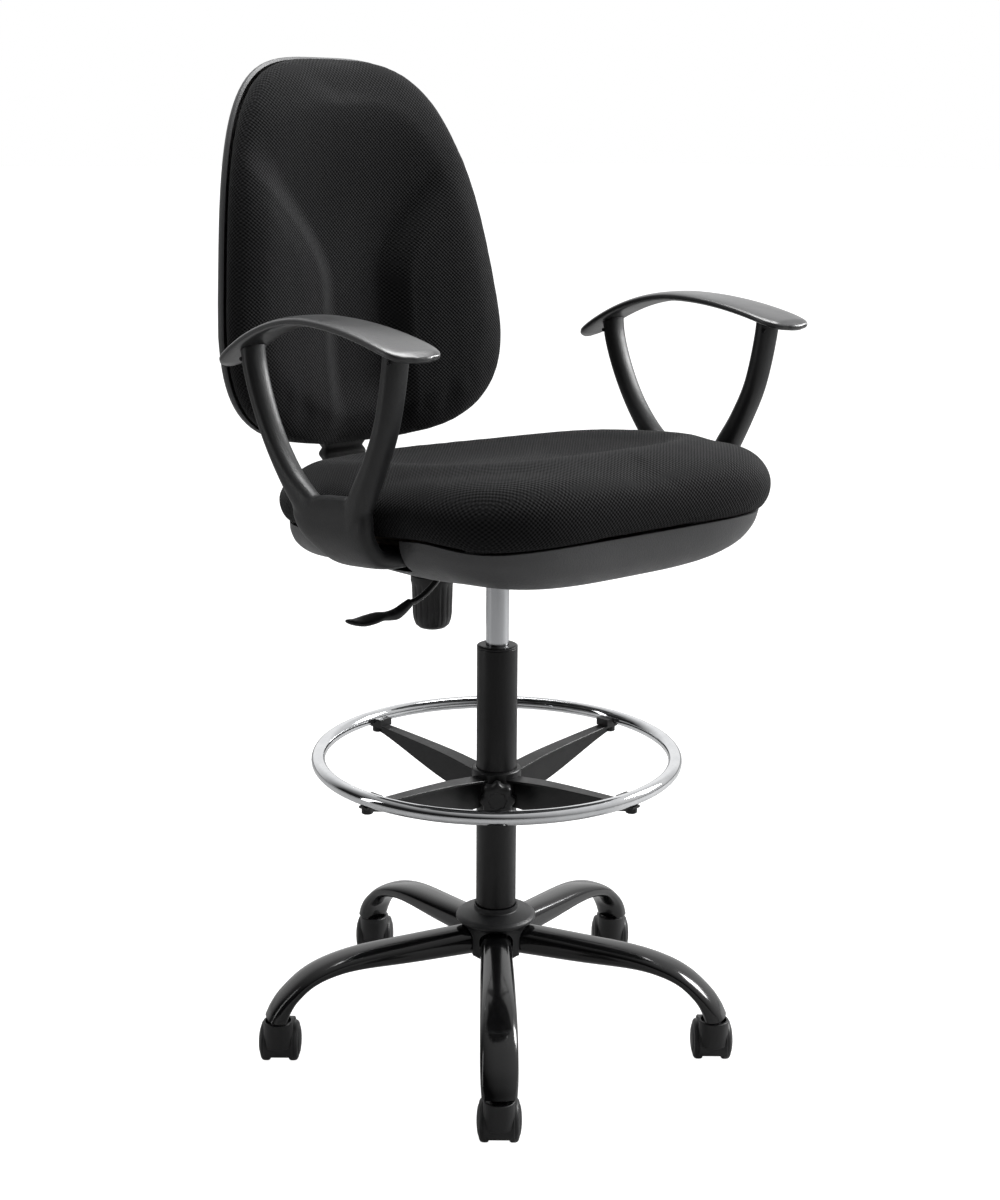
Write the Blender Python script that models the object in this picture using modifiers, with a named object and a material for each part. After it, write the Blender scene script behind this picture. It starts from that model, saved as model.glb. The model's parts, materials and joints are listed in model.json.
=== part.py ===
"""Drafting chair: five-leg steel base on twin-wheel casters, foot ring, gas lift,
dished seat, loop armrests and a contoured back on a sprung bar.

The column axis is the chair's natural centre line.  The sitter faces -Y, the sitter's
left is +X, Z is up and the wheels stand on the level FLOOR.  Everything hangs from one
empty that puts the middle of the chair's footprint on the world origin.
"""
import math

import bmesh
import bpy
from mathutils import Matrix, Vector

# ---------------------------------------------------------------- driving dimensions
GAP = 0.0004                    # clearance between pieces that touch
FLOOR = 0.0155                  # level of the floor in the chair's own heights
FOOTPRINT_SHIFT = (-0.0033, -0.0522)    # column axis in the world, puts the footprint at 0, 0

LEG_COUNT = 5
FIRST_LEG_ANGLE = math.radians(-38.50)   # from straight ahead, towards the sitter's left
STEM_RADIUS_ON_BASE = 0.2820
HUB_RADIUS = 0.031
HUB_BOTTOM = 0.126
HUB_TOP = 0.174

WHEEL_RADIUS = 0.025
WHEEL_SIDES = 18
WHEEL_INNER = 0.0118            # half the gap between the two wheels of a caster
WHEEL_OUTER = 0.0260
CASTER_TRAIL = 0.017
CASTER_HEADING = math.radians(-39.68)
CASTER_STEM_RADIUS = 0.0056

COLUMN_RADIUS = 0.025
COLUMN_BORE = 0.0222
COLUMN_FLOOR = 0.190
COLUMN_FLOOR_TOP = 0.200
COLUMN_TOP = 0.5275
BUSH_TOP = 0.531
CYLINDER_RADIUS = 0.014
CYLINDER_BOTTOM = 0.315
CYLINDER_TOP = 0.664
ROD_RADIUS = 0.005

RING_RADIUS = 0.220
RING_TUBE = 0.0085
RING_HEIGHT = 0.389
SPIDER_ANGLE = math.radians(-38.2)       # direction of the clamp knob
SPIDER_ARM_TOP = 0.3798
KNOB_HEIGHT = 0.347

SEAM_HEIGHT = 0.701             # seat seam over the column axis
SEAT_SLOPE = 0.10               # the seat falls towards the back
SEAT_HALF_WIDTH = 0.245
SEAT_FRONT = 0.262
SEAT_REAR = 0.250
FRONT_ROUND = 5.0               # superellipse exponents of the seat's outline
REAR_ROUND = 2.3
SEAM_DIP = 0.014                # the seam drops across the front edge
REAR_TAPER = 0.05               # share of the width lost at the back edge
FRONT_DEEPENING = 0.80          # share of the shell's depth gained at the front edge
REAR_DEEPENING = 0.45           # and at the back edge
REAR_THINNING = 3.4             # cushion height lost per square metre behind the axis
SHELL_WALL = 0.003
BOARD_THICKNESS = 0.012

ARM_X = 0.276
BACK_HALF_WIDTH = 0.210
BACK_WAIST_HEIGHT = 0.900       # height of the widest part of the back
BACK_TOP = 1.230
BACK_BOTTOM = 0.745
BACK_LEAN = 0.10
BACK_WRAP = 0.035               # how far the side edges come forward
BACK_SEAM_Y = 0.305             # cushion seam at mid width, 0.86 m up

PIVOT_Y = 0.080
PIVOT_Z = 0.636
TENSION_Y = 0.130
LEVER_PIVOT = Vector((-0.058, 0.020, 0.647))


# ---------------------------------------------------------------- scene and helpers
def clear_scene():
    for item in list(bpy.data.objects):
        bpy.data.objects.remove(item, do_unlink=True)


def new_collection(name):
    group = bpy.data.collections.new(name)
    bpy.context.scene.collection.children.link(group)
    return group


def new_material(name, colour, roughness, metallic=0.0):
    material = bpy.data.materials.new(name)
    material.use_nodes = True
    shader = material.node_tree.nodes["Principled BSDF"]
    shader.inputs["Base Color"].default_value = (*colour, 1.0)
    shader.inputs["Roughness"].default_value = roughness
    shader.inputs["Metallic"].default_value = metallic
    return material


clear_scene()
PARTS = new_collection("drafting_chair")
CUTTERS = new_collection("cutters")
FABRIC = new_material("black_mesh_fabric", (0.012, 0.012, 0.013), 0.85)
PLASTIC = new_material("textured_black_plastic", (0.030, 0.031, 0.033), 0.45)
SHELL_PLASTIC = new_material("grey_black_shell_plastic", (0.055, 0.056, 0.058), 0.50)
GLOSS = new_material("gloss_black_tube", (0.008, 0.008, 0.009), 0.12)
POWDER = new_material("powder_coated_steel", (0.020, 0.020, 0.021), 0.35)
CHROME = new_material("chrome", (0.85, 0.85, 0.86), 0.05, 1.0)
STEEL = new_material("zinc_steel", (0.55, 0.55, 0.56), 0.30, 1.0)
NYLON = new_material("black_nylon", (0.020, 0.020, 0.021), 0.50)
PLYWOOD = new_material("plywood", (0.42, 0.28, 0.15), 0.70)
RUBBER = new_material("black_rubber", (0.015, 0.015, 0.015), 0.60)


def empty(name, location, parent=None, turn=0.0):
    item = bpy.data.objects.new(name, None)
    item.location = location
    item.rotation_euler = (0.0, 0.0, turn)
    item.parent = parent
    PARTS.objects.link(item)
    return item


CHAIR = empty("chair", (*FOOTPRINT_SHIFT, -FLOOR))


def mesh_object(name, mesh, material, parent, cutter=False):
    """An object of the mesh, in the parts or among the cutters."""
    item = bpy.data.objects.new(name, mesh)
    item.parent = parent
    if cutter:
        CUTTERS.objects.link(item)
        item.hide_render = True
        item.display_type = "WIRE"
    else:
        PARTS.objects.link(item)
        mesh.materials.append(material)
    return item


def smooth(mesh, angle=35.0):
    mesh.shade_smooth()
    mesh.set_sharp_from_angle(angle=math.radians(angle))


def loft_mesh(name, rings, closed_ends=True):
    """A skin over rings of points that all have the same count."""
    shape = bmesh.new()
    loops = [[shape.verts.new(point) for point in ring] for ring in rings]
    count = len(rings[0])
    for low, high in zip(loops, loops[1:]):
        for i in range(count):
            j = (i + 1) % count
            shape.faces.new((low[i], low[j], high[j], high[i]))
    if closed_ends:
        shape.faces.new(list(reversed(loops[0])))
        shape.faces.new(loops[-1])
    bmesh.ops.recalc_face_normals(shape, faces=shape.faces[:])
    mesh = bpy.data.meshes.new(name)
    shape.to_mesh(mesh)
    shape.free()
    return mesh


def loft(name, rings, material, parent, cutter=False):
    mesh = loft_mesh(name, rings)
    smooth(mesh)
    return mesh_object(name, mesh, material, parent, cutter)


def bowl(name, rings, centre, material, parent):
    """An open dish: rings from the rim inwards, closed by a fan to the centre."""
    shape = bmesh.new()
    loops = [[shape.verts.new(point) for point in ring] for ring in rings]
    middle = shape.verts.new(centre)
    count = len(rings[0])
    for outer, inner in zip(loops, loops[1:]):
        for i in range(count):
            j = (i + 1) % count
            shape.faces.new((outer[i], outer[j], inner[j], inner[i]))
    for i in range(count):
        shape.faces.new((loops[-1][i], loops[-1][(i + 1) % count], middle))
    inside = sum((vert.co for vert in loops[0]), Vector()) / count
    shape.faces.ensure_lookup_table()
    first = shape.faces[0]
    first.normal_update()
    if first.normal.dot(first.calc_center_median() - inside) < 0:
        bmesh.ops.reverse_faces(shape, faces=shape.faces[:])
    mesh = bpy.data.meshes.new(name)
    shape.to_mesh(mesh)
    shape.free()
    smooth(mesh)
    return mesh_object(name, mesh, material, parent)


def lathe(name, profile, sides, material, parent, closed=True, cutter=False):
    """A body turned about its own Z; the profile is (radius, height) down the outside."""
    mesh = bpy.data.meshes.new(name)
    points = [(radius, 0.0, height) for radius, height in profile]
    edges = [(i, i + 1) for i in range(len(points) - 1)]
    if closed:
        edges.append((len(points) - 1, 0))
    mesh.from_pydata(points, edges, [])
    item = mesh_object(name, mesh, material, parent, cutter)
    turn = item.modifiers.new("turn", "SCREW")
    turn.axis = "Z"
    turn.angle = math.tau
    turn.steps = sides
    turn.render_steps = sides
    turn.use_merge_vertices = True
    turn.merge_threshold = 0.00001
    turn.use_smooth_shade = True
    return item


def cylinder(name, radius, low, high, sides, material, parent, cutter=False):
    """A plain round bar between two points."""
    low, high = Vector(low), Vector(high)
    shape = bmesh.new()
    bmesh.ops.create_cone(shape, cap_ends=True, segments=sides, radius1=radius, radius2=radius,
                          depth=(high - low).length)
    turn = (high - low).to_track_quat("Z", "Y").to_matrix().to_4x4()
    shape.transform(Matrix.Translation((low + high) / 2) @ turn)
    mesh = bpy.data.meshes.new(name)
    shape.to_mesh(mesh)
    shape.free()
    smooth(mesh)
    return mesh_object(name, mesh, material, parent, cutter)


def box(name, low, high, material, parent, cutter=False):
    shape = bmesh.new()
    bmesh.ops.create_cube(shape, size=1.0)
    low, high = Vector(low), Vector(high)
    size = high - low
    shape.transform(Matrix.Translation((low + high) / 2) @ Matrix.Diagonal((*size, 1.0)))
    mesh = bpy.data.meshes.new(name)
    shape.to_mesh(mesh)
    shape.free()
    return mesh_object(name, mesh, material, parent, cutter)


def boolean(target, tool, operation):
    step = target.modifiers.new(operation.lower(), "BOOLEAN")
    step.operation = operation
    step.object = tool


def cut(target, *tools):
    for tool in tools:
        boolean(target, tool, "DIFFERENCE")


def fuse(target, *tools):
    for tool in tools:
        boolean(target, tool, "UNION")


def spline(points, steps):
    """Catmull-Rom points through a short list of knots of any dimension."""
    knots = [2 * points[0] - points[1], *points, 2 * points[-1] - points[-2]]
    result = []
    for a, b, c, d in zip(knots, knots[1:], knots[2:], knots[3:]):
        for k in range(steps):
            t = k / steps
            result.append(0.5 * (2 * b + (c - a) * t + (2 * a - 5 * b + 4 * c - d) * t * t
                                 + (3 * b - a - 3 * c + d) * t ** 3))
    result.append(points[-1])
    return result


def rounded_section(centre, across, along, half_across, half_along, sides, power=2.5):
    """A superellipse of points in the plane of two unit directions."""
    ring = []
    for i in range(sides):
        angle = math.tau * (i + 0.5) / sides
        cosine, sine = math.cos(angle), math.sin(angle)
        u = half_across * math.copysign(abs(cosine) ** (2 / power), cosine)
        v = half_along * math.copysign(abs(sine) ** (2 / power), sine)
        ring.append(centre + across * u + along * v)
    return ring


def smoothstep(value):
    value = min(max(value, 0.0), 1.0)
    return value * value * (3 - 2 * value)


def radial(angle):
    """Unit vector on the floor, angle counted from straight ahead to the sitter's left."""
    return Vector((math.sin(angle), -math.cos(angle), 0.0))


def tangent(angle):
    return Vector((math.cos(angle), math.sin(angle), 0.0))


# ---------------------------------------------------------------- five-leg base
# Each station of a leg: (top radius, top height, bottom radius, bottom height, width)
LEG_STATIONS = [
    (0.026, 0.1680, 0.026, 0.1315, 0.038),
    (0.110, 0.1622, 0.110, 0.1307, 0.041),
    (0.178, 0.1562, 0.178, 0.1315, 0.0425),
    (0.222, 0.1460, 0.212, 0.1280, 0.0435),
    (0.251, 0.1320, 0.239, 0.1188, 0.044),
    (0.276, 0.1110, 0.2585, 0.1025, 0.044),
    (0.289, 0.0950, 0.2675, 0.0882, 0.043),
    (0.2965, 0.0810, 0.2715, 0.0765, 0.041),
]


def leg_rings(angle, sides, steps):
    outward, side, up = radial(angle), tangent(angle), Vector((0, 0, 1))
    rings = []
    for station in spline([Vector(values) for values in LEG_STATIONS], steps):
        top = outward * station[0] + up * station[1]
        bottom = outward * station[2] + up * station[3]
        rise = top - bottom
        rings.append(rounded_section((top + bottom) / 2, side, rise.normalized(),
                                     station[4] / 2, rise.length / 2, sides))
    return rings


def make_base():
    """The welded base, its plastic hub cover and the five caster stems."""
    hub_profile = [(HUB_RADIUS, HUB_TOP), (HUB_RADIUS, HUB_BOTTOM), (0.0152, HUB_BOTTOM),
                   (0.0160, HUB_TOP)]
    frame = lathe("base_frame", hub_profile, 24, GLOSS, CHAIR)
    cover_profile = [
        (0.0275, 0.1930), (0.0275, 0.1865), (0.0460, 0.1815), (0.0500, 0.1785),
        (0.0505, 0.1750), (0.0450, 0.1715), (0.0430, 0.1690), (0.0430, 0.1345),
        (0.0405, 0.1345), (0.0405, 0.1745), (0.0256, 0.1790), (0.0256, 0.1930)]
    cover = lathe("hub_cover", cover_profile, 30, PLASTIC, CHAIR)
    stem_profile = [(0.0, 0.0920), (0.0045, 0.0920), (CASTER_STEM_RADIUS, 0.0905),
                    (CASTER_STEM_RADIUS, 0.0755), (0.0090, 0.0750), (0.0090, 0.0710),
                    (CASTER_STEM_RADIUS, 0.0705), (CASTER_STEM_RADIUS, 0.0560), (0.0, 0.0560)]
    sockets = []
    for k in range(LEG_COUNT):
        angle = FIRST_LEG_ANGLE + k * math.tau / LEG_COUNT
        outward, side, up = radial(angle), tangent(angle), Vector((0, 0, 1))
        fuse(frame, loft(f"base_leg_{k + 1}", leg_rings(angle, 12, 1), None, CHAIR, cutter=True))
        foot = outward * STEM_RADIUS_ON_BASE
        sockets.append(cylinder(f"stem_socket_{k + 1}", CASTER_STEM_RADIUS + GAP,
                                foot + up * 0.060, foot + up * 0.0935, 14, None, CHAIR,
                                cutter=True))
        arch = []
        for reach in (0.033, 0.060):
            middle = outward * reach
            ring = [middle + side * (0.0210 * math.cos(a)) + up * (0.1560 + 0.0145 * math.sin(a))
                    for a in [math.pi * i / 6 for i in range(7)]]
            ring += [middle - side * 0.0210 + up * 0.120, middle + side * 0.0210 + up * 0.120]
            arch.append(ring)
        cut(cover, loft(f"leg_arch_{k + 1}", arch, None, CHAIR, cutter=True))
        stem = lathe(f"caster_{k + 1}_stem", stem_profile, 8, STEEL, CHAIR, closed=False)
        stem.location = foot
    cut(frame, *sockets)


# ---------------------------------------------------------------- casters
def make_caster(number, angle):
    foot = radial(angle) * STEM_RADIUS_ON_BASE + Vector((0, 0, FLOOR))
    pivot = empty(f"caster_{number}", foot, CHAIR, CASTER_HEADING)
    axle_at = Vector((0.0, CASTER_TRAIL, WHEEL_RADIUS))
    side = Vector((1, 0, 0))
    up = Vector((0, 0, 1))
    name = f"caster_{number}"

    hood = cylinder(f"{name}_hood", 0.0182, (0, 0, 0.0275), (0, 0, 0.0600), 18, NYLON, pivot)
    guard = cylinder(f"{name}_guard", 0.0290, axle_at - side * 0.0175, axle_at + side * 0.0175,
                     18, None, pivot, cutter=True)
    boss = cylinder(f"{name}_boss", 0.0120, axle_at - side * 0.0112, axle_at + side * 0.0112,
                    10, None, pivot, cutter=True)
    below = box(f"{name}_below", (-0.030, -0.010, -0.020), (0.030, 0.060, WHEEL_RADIUS + 0.004),
                None, pivot, cutter=True)
    cut(guard, below)
    fuse(hood, guard, boss)
    spaces = [cylinder(f"{name}_space_{label}", WHEEL_RADIUS + 0.0012,
                       axle_at + side * sign * (WHEEL_INNER - 0.0006), axle_at + side * sign * 0.030,
                       18, None, pivot, cutter=True) for label, sign in (("a", 1), ("b", -1))]
    recess = cylinder(f"{name}_recess", 0.0158, (0, 0, 0.0540), (0, 0, 0.0800), 14, None, pivot,
                      cutter=True)
    socket = cylinder(f"{name}_socket", CASTER_STEM_RADIUS + GAP, (0, 0, 0.0400), (0, 0, 0.0700),
                      10, None, pivot, cutter=True)
    bore = cylinder(f"{name}_bore", 0.0032, axle_at - side * 0.03, axle_at + side * 0.03, 8,
                    None, pivot, cutter=True)
    cut(hood, *spaces, recess, socket, bore)

    cylinder(f"{name}_axle", 0.0028, axle_at - side * 0.0210, axle_at + side * 0.0210, 10, STEEL,
             pivot)
    rim = WHEEL_RADIUS / math.cos(math.pi / WHEEL_SIDES)
    wheel_profile = [(0.0, WHEEL_OUTER), (0.0150, 0.0250), (rim - 0.0020, 0.0215),
                     (rim, 0.0180), (rim, 0.0135), (rim - 0.0020, WHEEL_INNER),
                     (0.0032, WHEEL_INNER), (0.0032, 0.0215), (0.0, 0.0215)]
    for label, turn in (("left", math.pi / 2), ("right", -math.pi / 2)):
        wheel = lathe(f"{name}_wheel_{label}", wheel_profile, WHEEL_SIDES, NYLON, pivot, False)
        wheel.location = axle_at
        half_facet = math.pi / WHEEL_SIDES
        wheel.rotation_mode = "QUATERNION"
        wheel.rotation_quaternion = (Matrix.Rotation(turn, 3, "Y")
                                     @ Matrix.Rotation(half_facet, 3, "Z")).to_quaternion()


# ---------------------------------------------------------------- column and gas lift
def make_column():
    tube_profile = [
        (COLUMN_RADIUS, COLUMN_TOP), (COLUMN_RADIUS, 0.1940), (0.0215, 0.1880), (0.0155, 0.1800),
        (0.0148, 0.1270), (0.0110, 0.1270), (0.0110, COLUMN_FLOOR), (0.0056, COLUMN_FLOOR),
        (0.0056, COLUMN_FLOOR_TOP), (COLUMN_BORE, COLUMN_FLOOR_TOP), (COLUMN_BORE, COLUMN_TOP)]
    lathe("column_tube", tube_profile, 20, POWDER, CHAIR)
    bush_profile = [
        (0.0235, BUSH_TOP), (0.0250, BUSH_TOP - 0.0015), (0.0250, COLUMN_TOP + GAP),
        (COLUMN_BORE - GAP, COLUMN_TOP + GAP), (COLUMN_BORE - GAP, 0.4550),
        (CYLINDER_RADIUS + GAP, 0.4550), (CYLINDER_RADIUS + GAP, BUSH_TOP)]
    lathe("column_bush", bush_profile, 20, NYLON, CHAIR)


def make_rod():
    axis = empty("rod_axis", (0, 0, 0), CHAIR)
    rod_profile = [
        (0.0, 0.4550), (0.0112, 0.4550), (0.0112, 0.4470), (ROD_RADIUS, 0.4460),
        (ROD_RADIUS, 0.2125), (0.0090, 0.2120), (0.0090, 0.2092), (ROD_RADIUS, 0.2088),
        (ROD_RADIUS, 0.1810), (0.0, 0.1810)]
    lathe("piston_rod", rod_profile, 12, CHROME, axis, closed=False)
    bearing_profile = [(0.0125, 0.2088), (0.0125, 0.2004), (0.0056, 0.2004), (0.0056, 0.2088)]
    lathe("thrust_bearing", bearing_profile, 16, STEEL, axis)
    clip_profile = [(0.0090, 0.1896), (0.0090, 0.1870), (0.0054, 0.1870), (0.0054, 0.1896)]
    lathe("rod_clip", clip_profile, 12, STEEL, axis)


def make_gas_cylinder(seat):
    profile = [
        (0.0128, CYLINDER_TOP), (CYLINDER_RADIUS, 0.6320), (CYLINDER_RADIUS, CYLINDER_BOTTOM),
        (0.0056, CYLINDER_BOTTOM), (0.0056, 0.3210), (0.0118, 0.3210), (0.0118, 0.6300),
        (0.0036, 0.6400), (0.0036, CYLINDER_TOP)]
    lathe("gas_cylinder", profile, 20, CHROME, seat)


# ---------------------------------------------------------------- foot ring
def torus(name, tube, parent):
    """The foot ring's tube as a cutter, at the ring's height."""
    rings = []
    for i in range(45):
        outward, up = radial(math.tau * i / 44), Vector((0, 0, 1))
        rings.append([outward * (RING_RADIUS + tube * math.cos(a)) + up
                      * (RING_HEIGHT + tube * math.sin(a))
                      for a in [math.tau * (j + 0.5) / 8 for j in range(8)]])
    shape = bmesh.new()
    loops = [[shape.verts.new(point) for point in ring] for ring in rings[:44]]
    for near, far in zip(loops, loops[1:] + loops[:1]):
        for j in range(8):
            shape.faces.new((near[j], near[(j + 1) % 8], far[(j + 1) % 8], far[j]))
    bmesh.ops.recalc_face_normals(shape, faces=shape.faces[:])
    mesh = bpy.data.meshes.new(name)
    shape.to_mesh(mesh)
    shape.free()
    return mesh_object(name, mesh, None, parent, cutter=True)


def make_foot_ring():
    carrier = empty("ring_carrier", (0, 0, 0), CHAIR)
    bpy.ops.mesh.primitive_torus_add(major_radius=RING_RADIUS, minor_radius=RING_TUBE,
                                     major_segments=44, minor_segments=8)
    ring = bpy.context.object
    ring.name = "foot_ring"
    ring.data.name = "foot_ring"
    for group in list(ring.users_collection):
        group.objects.unlink(ring)
    PARTS.objects.link(ring)
    ring.parent = carrier
    ring.location = (0, 0, RING_HEIGHT)
    ring.data.materials.append(CHROME)
    smooth(ring.data, 60.0)
    groove = torus("ring_groove", RING_TUBE + 2 * GAP, carrier)

    hub_profile = [(0.0285, 0.3740), (0.0305, 0.3720), (0.0305, 0.3260), (0.0256, 0.3260),
                   (0.0256, 0.3740)]
    spider = lathe("ring_spider", hub_profile, 24, POWDER, carrier)
    up = Vector((0, 0, 1))
    for k in range(4):
        angle = SPIDER_ANGLE + math.pi / 4 + k * math.pi / 2
        outward, side = radial(angle), tangent(angle)
        rings = []
        for reach, top, half_flange, depth in ((0.0275, 0.3650, 0.0120, 0.0370),
                                               (0.0900, 0.3730, 0.0100, 0.0400),
                                               (0.1900, SPIDER_ARM_TOP, 0.0075, 0.0150),
                                               (0.2240, SPIDER_ARM_TOP, 0.0065, 0.0065)):
            plate, half_web = 0.0030, 0.0016
            shape = [(-half_flange, 0), (-half_flange, -plate), (-half_web, -plate),
                     (-half_web, -depth), (half_web, -depth), (half_web, -plate),
                     (half_flange, -plate), (half_flange, 0)]
            rings.append([outward * reach + side * u + up * (top + v) for u, v in shape])
        fuse(spider, loft(f"spider_arm_{k + 1}", rings, None, carrier, cutter=True))
        tip = outward * 0.2165 + up * (SPIDER_ARM_TOP - 0.0020)
        fuse(spider, cylinder(f"arm_foot_{k + 1}", 0.0068, tip - up * 0.0075, tip, 10, None,
                              carrier, cutter=True))
        low = outward * 0.2090 + up * (SPIDER_ARM_TOP + GAP)
        saddle = [[low + outward * (0.0085 * u) + side * (0.0095 * v) + up * rise
                   for u, v in ((-1, -1), (1, -1), (1, 1), (-1, 1))] for rise in (0.0, 0.0095)]
        clip = mesh_object(f"ring_clip_{k + 1}", loft_mesh(f"ring_clip_{k + 1}", saddle), NYLON,
                           carrier)
        cut(clip, groove)

    forward = radial(SPIDER_ANGLE)
    boss = cylinder("clamp_boss", 0.0100, forward * 0.0280 + up * KNOB_HEIGHT,
                    forward * 0.0360 + up * KNOB_HEIGHT, 16, None, carrier, cutter=True)
    fuse(spider, boss)
    cut(spider, cylinder("column_passage", 0.0256, (0, 0, 0.30), (0, 0, 0.40), 24, None, carrier,
                         cutter=True),
        cylinder("clamp_hole", 0.0045, forward * 0.0200 + up * KNOB_HEIGHT,
                 forward * 0.0400 + up * KNOB_HEIGHT, 12, None, carrier, cutter=True))

    handle = empty("ring_knob_axis", up * KNOB_HEIGHT, carrier, SPIDER_ANGLE)
    rings = []
    for reach, size in ((-0.0370, 0.90), (-0.0385, 1.0), (-0.0500, 1.0), (-0.0525, 0.86)):
        ring = []
        for i in range(32):
            angle = math.tau * i / 32
            radius = size * (0.0205 + 0.0015 * math.cos(8 * angle))
            ring.append(Vector((radius * math.cos(angle), reach, radius * math.sin(angle))))
        rings.append(ring)
    knob = loft("ring_knob", rings, NYLON, handle)
    fuse(knob, cylinder("clamp_screw", 0.0040, (0, -0.0262, 0), (0, -0.0420, 0), 12, None, handle,
                        cutter=True))


# ---------------------------------------------------------------- seat shapes
def seat_level(y):
    """Height of the seam plane at a depth in the seat."""
    return SEAM_HEIGHT - SEAT_SLOPE * y


def seat_outline(scale, count, front_power=FRONT_ROUND):
    points = []
    for i in range(count):
        angle = math.tau * (i + 0.5) / count
        cosine, sine = math.cos(angle), math.sin(angle)
        power = front_power if sine < 0 else REAR_ROUND
        depth = SEAT_FRONT if sine < 0 else SEAT_REAR
        x = SEAT_HALF_WIDTH * math.copysign(abs(cosine) ** (2 / power), cosine)
        y = depth * math.copysign(abs(sine) ** (2 / power), sine)
        x *= 1 - REAR_TAPER * max(y, 0.0) / SEAT_REAR
        points.append((x * scale, y * scale))
    return points


def front_dip(y):
    return SEAM_DIP * smoothstep((-y - 0.15) / 0.10)


def seat_ring(scale, height, count, dip=1.0, front_power=FRONT_ROUND):
    """A loop round the seat.

    Over the seam the cushion thins out towards the back; under it the shell is deeper
    at the front and back than along the sides.
    """
    ring = []
    for x, y in seat_outline(scale, count, front_power):
        fall = max(height, 0.0) * REAR_THINNING * max(y, 0.0) ** 2
        deepen = (FRONT_DEEPENING * max(-y, 0.0) / SEAT_FRONT
                  + REAR_DEEPENING * max(y, 0.0) / SEAT_REAR)
        fall -= min(height, 0.0) * deepen
        ring.append(Vector((x, y, seat_level(y) + height - fall - dip * front_dip(y))))
    return ring


def slab(name, outline, low, high, material, parent, cutter=False):
    """A plate that follows the seat's slope between two heights over the seam plane."""
    rings = [[Vector((x, y, seat_level(y) + height)) for x, y in outline]
             for height in (low, high)]
    mesh = loft_mesh(name, rings)
    return mesh_object(name, mesh, material, parent, cutter)


def rectangle(x_low, x_high, y_low, y_high):
    return [(x_low, y_low), (x_high, y_low), (x_high, y_high), (x_low, y_high)]


ARM_BOLTS = [(0.168, -0.052), (0.168, -0.104), (0.205, -0.078)]
SEAT_BOLTS = [(0.045, -0.062), (-0.045, -0.062), (0.045, 0.142), (-0.045, 0.142)]
BOARD_LOW = -GAP - BOARD_THICKNESS
FOOT_HIGH = BOARD_LOW - GAP
FOOT_LOW = FOOT_HIGH - 0.0220
BOLT_RADIUS = 0.0032


def hole(name, x, y, low, high, parent, radius=BOLT_RADIUS + GAP, sides=6):
    return cylinder(name, radius, (x, y, low), (x, y, high), sides, None, parent, cutter=True)


def make_seat(seat):
    count = 28
    # cushion, from the underside out: (outline scale, height, share of the dip, front power)
    section = [(0.900, GAP, 0.0, 5.0), (0.975, GAP, 1.0, 5.0), (1.010, 0.004, 1.0, 5.0),
               (1.036, 0.014, 0.9, 4.9), (1.047, 0.028, 0.7, 4.8), (1.032, 0.044, 0.4, 4.5),
               (0.980, 0.0590, 0.1, 4.2), (0.890, 0.0685, 0.0, 3.8), (0.770, 0.0700, 0.0, 3.4),
               (0.560, 0.0600, 0.0, 3.0), (0.300, 0.0540, 0.0, 3.0)]
    rings = [seat_ring(scale, height, count, dip, power) for scale, height, dip, power in section]
    loft("seat_cushion", rings, FABRIC, seat)

    board = slab("seat_board", seat_outline(0.885, count), BOARD_LOW, -GAP, PLYWOOD, seat)
    places = [*SEAT_BOLTS, *ARM_BOLTS, *[(-x, y) for x, y in ARM_BOLTS]]
    for i, (x, y) in enumerate(places):
        level = seat_level(y)
        cut(board, hole(f"board_hole_{i}", x, y, level - 0.030, level - 0.0030, seat))

    tray = [(0.990, -0.0006, 1.0, 5.0), (0.985, -0.0100, 1.0, 4.6), (0.955, -0.0220, 0.9, 4.0),
            (0.880, -0.0330, 0.7, 3.4), (0.740, -0.0410, 0.4, 3.0), (0.500, -0.0470, 0.0, 2.6),
            (0.260, -0.0620, 0.0, 2.2)]
    rings = [seat_ring(scale, height, count, dip, power) for scale, height, dip, power in tray]
    shell = bowl("seat_shell", rings, Vector((0, 0, SEAM_HEIGHT - 0.0740)), SHELL_PLASTIC, seat)
    wall = shell.modifiers.new("wall", "SOLIDIFY")
    wall.thickness = SHELL_WALL
    wall.offset = -1.0
    for side in (1, -1):
        low, high = sorted((side * 0.130, side * 0.300))
        cut(shell, slab(f"arm_notch_{side}", rectangle(low, high, -0.126, -0.030),
                        FOOT_LOW - 0.0025, 0.020, None, seat, cutter=True))
    cut(shell, box("mechanism_opening", (-0.070, -0.085, 0.560), (0.070, 0.158, 0.650), None,
                   seat, cutter=True),
        box("bar_opening", (-0.036, 0.150, 0.560), (0.036, 0.280, 0.648), None, seat, cutter=True),
        box("lever_opening", (-0.135, 0.000, 0.560), (-0.060, 0.042, 0.645), None, seat,
            cutter=True))


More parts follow.
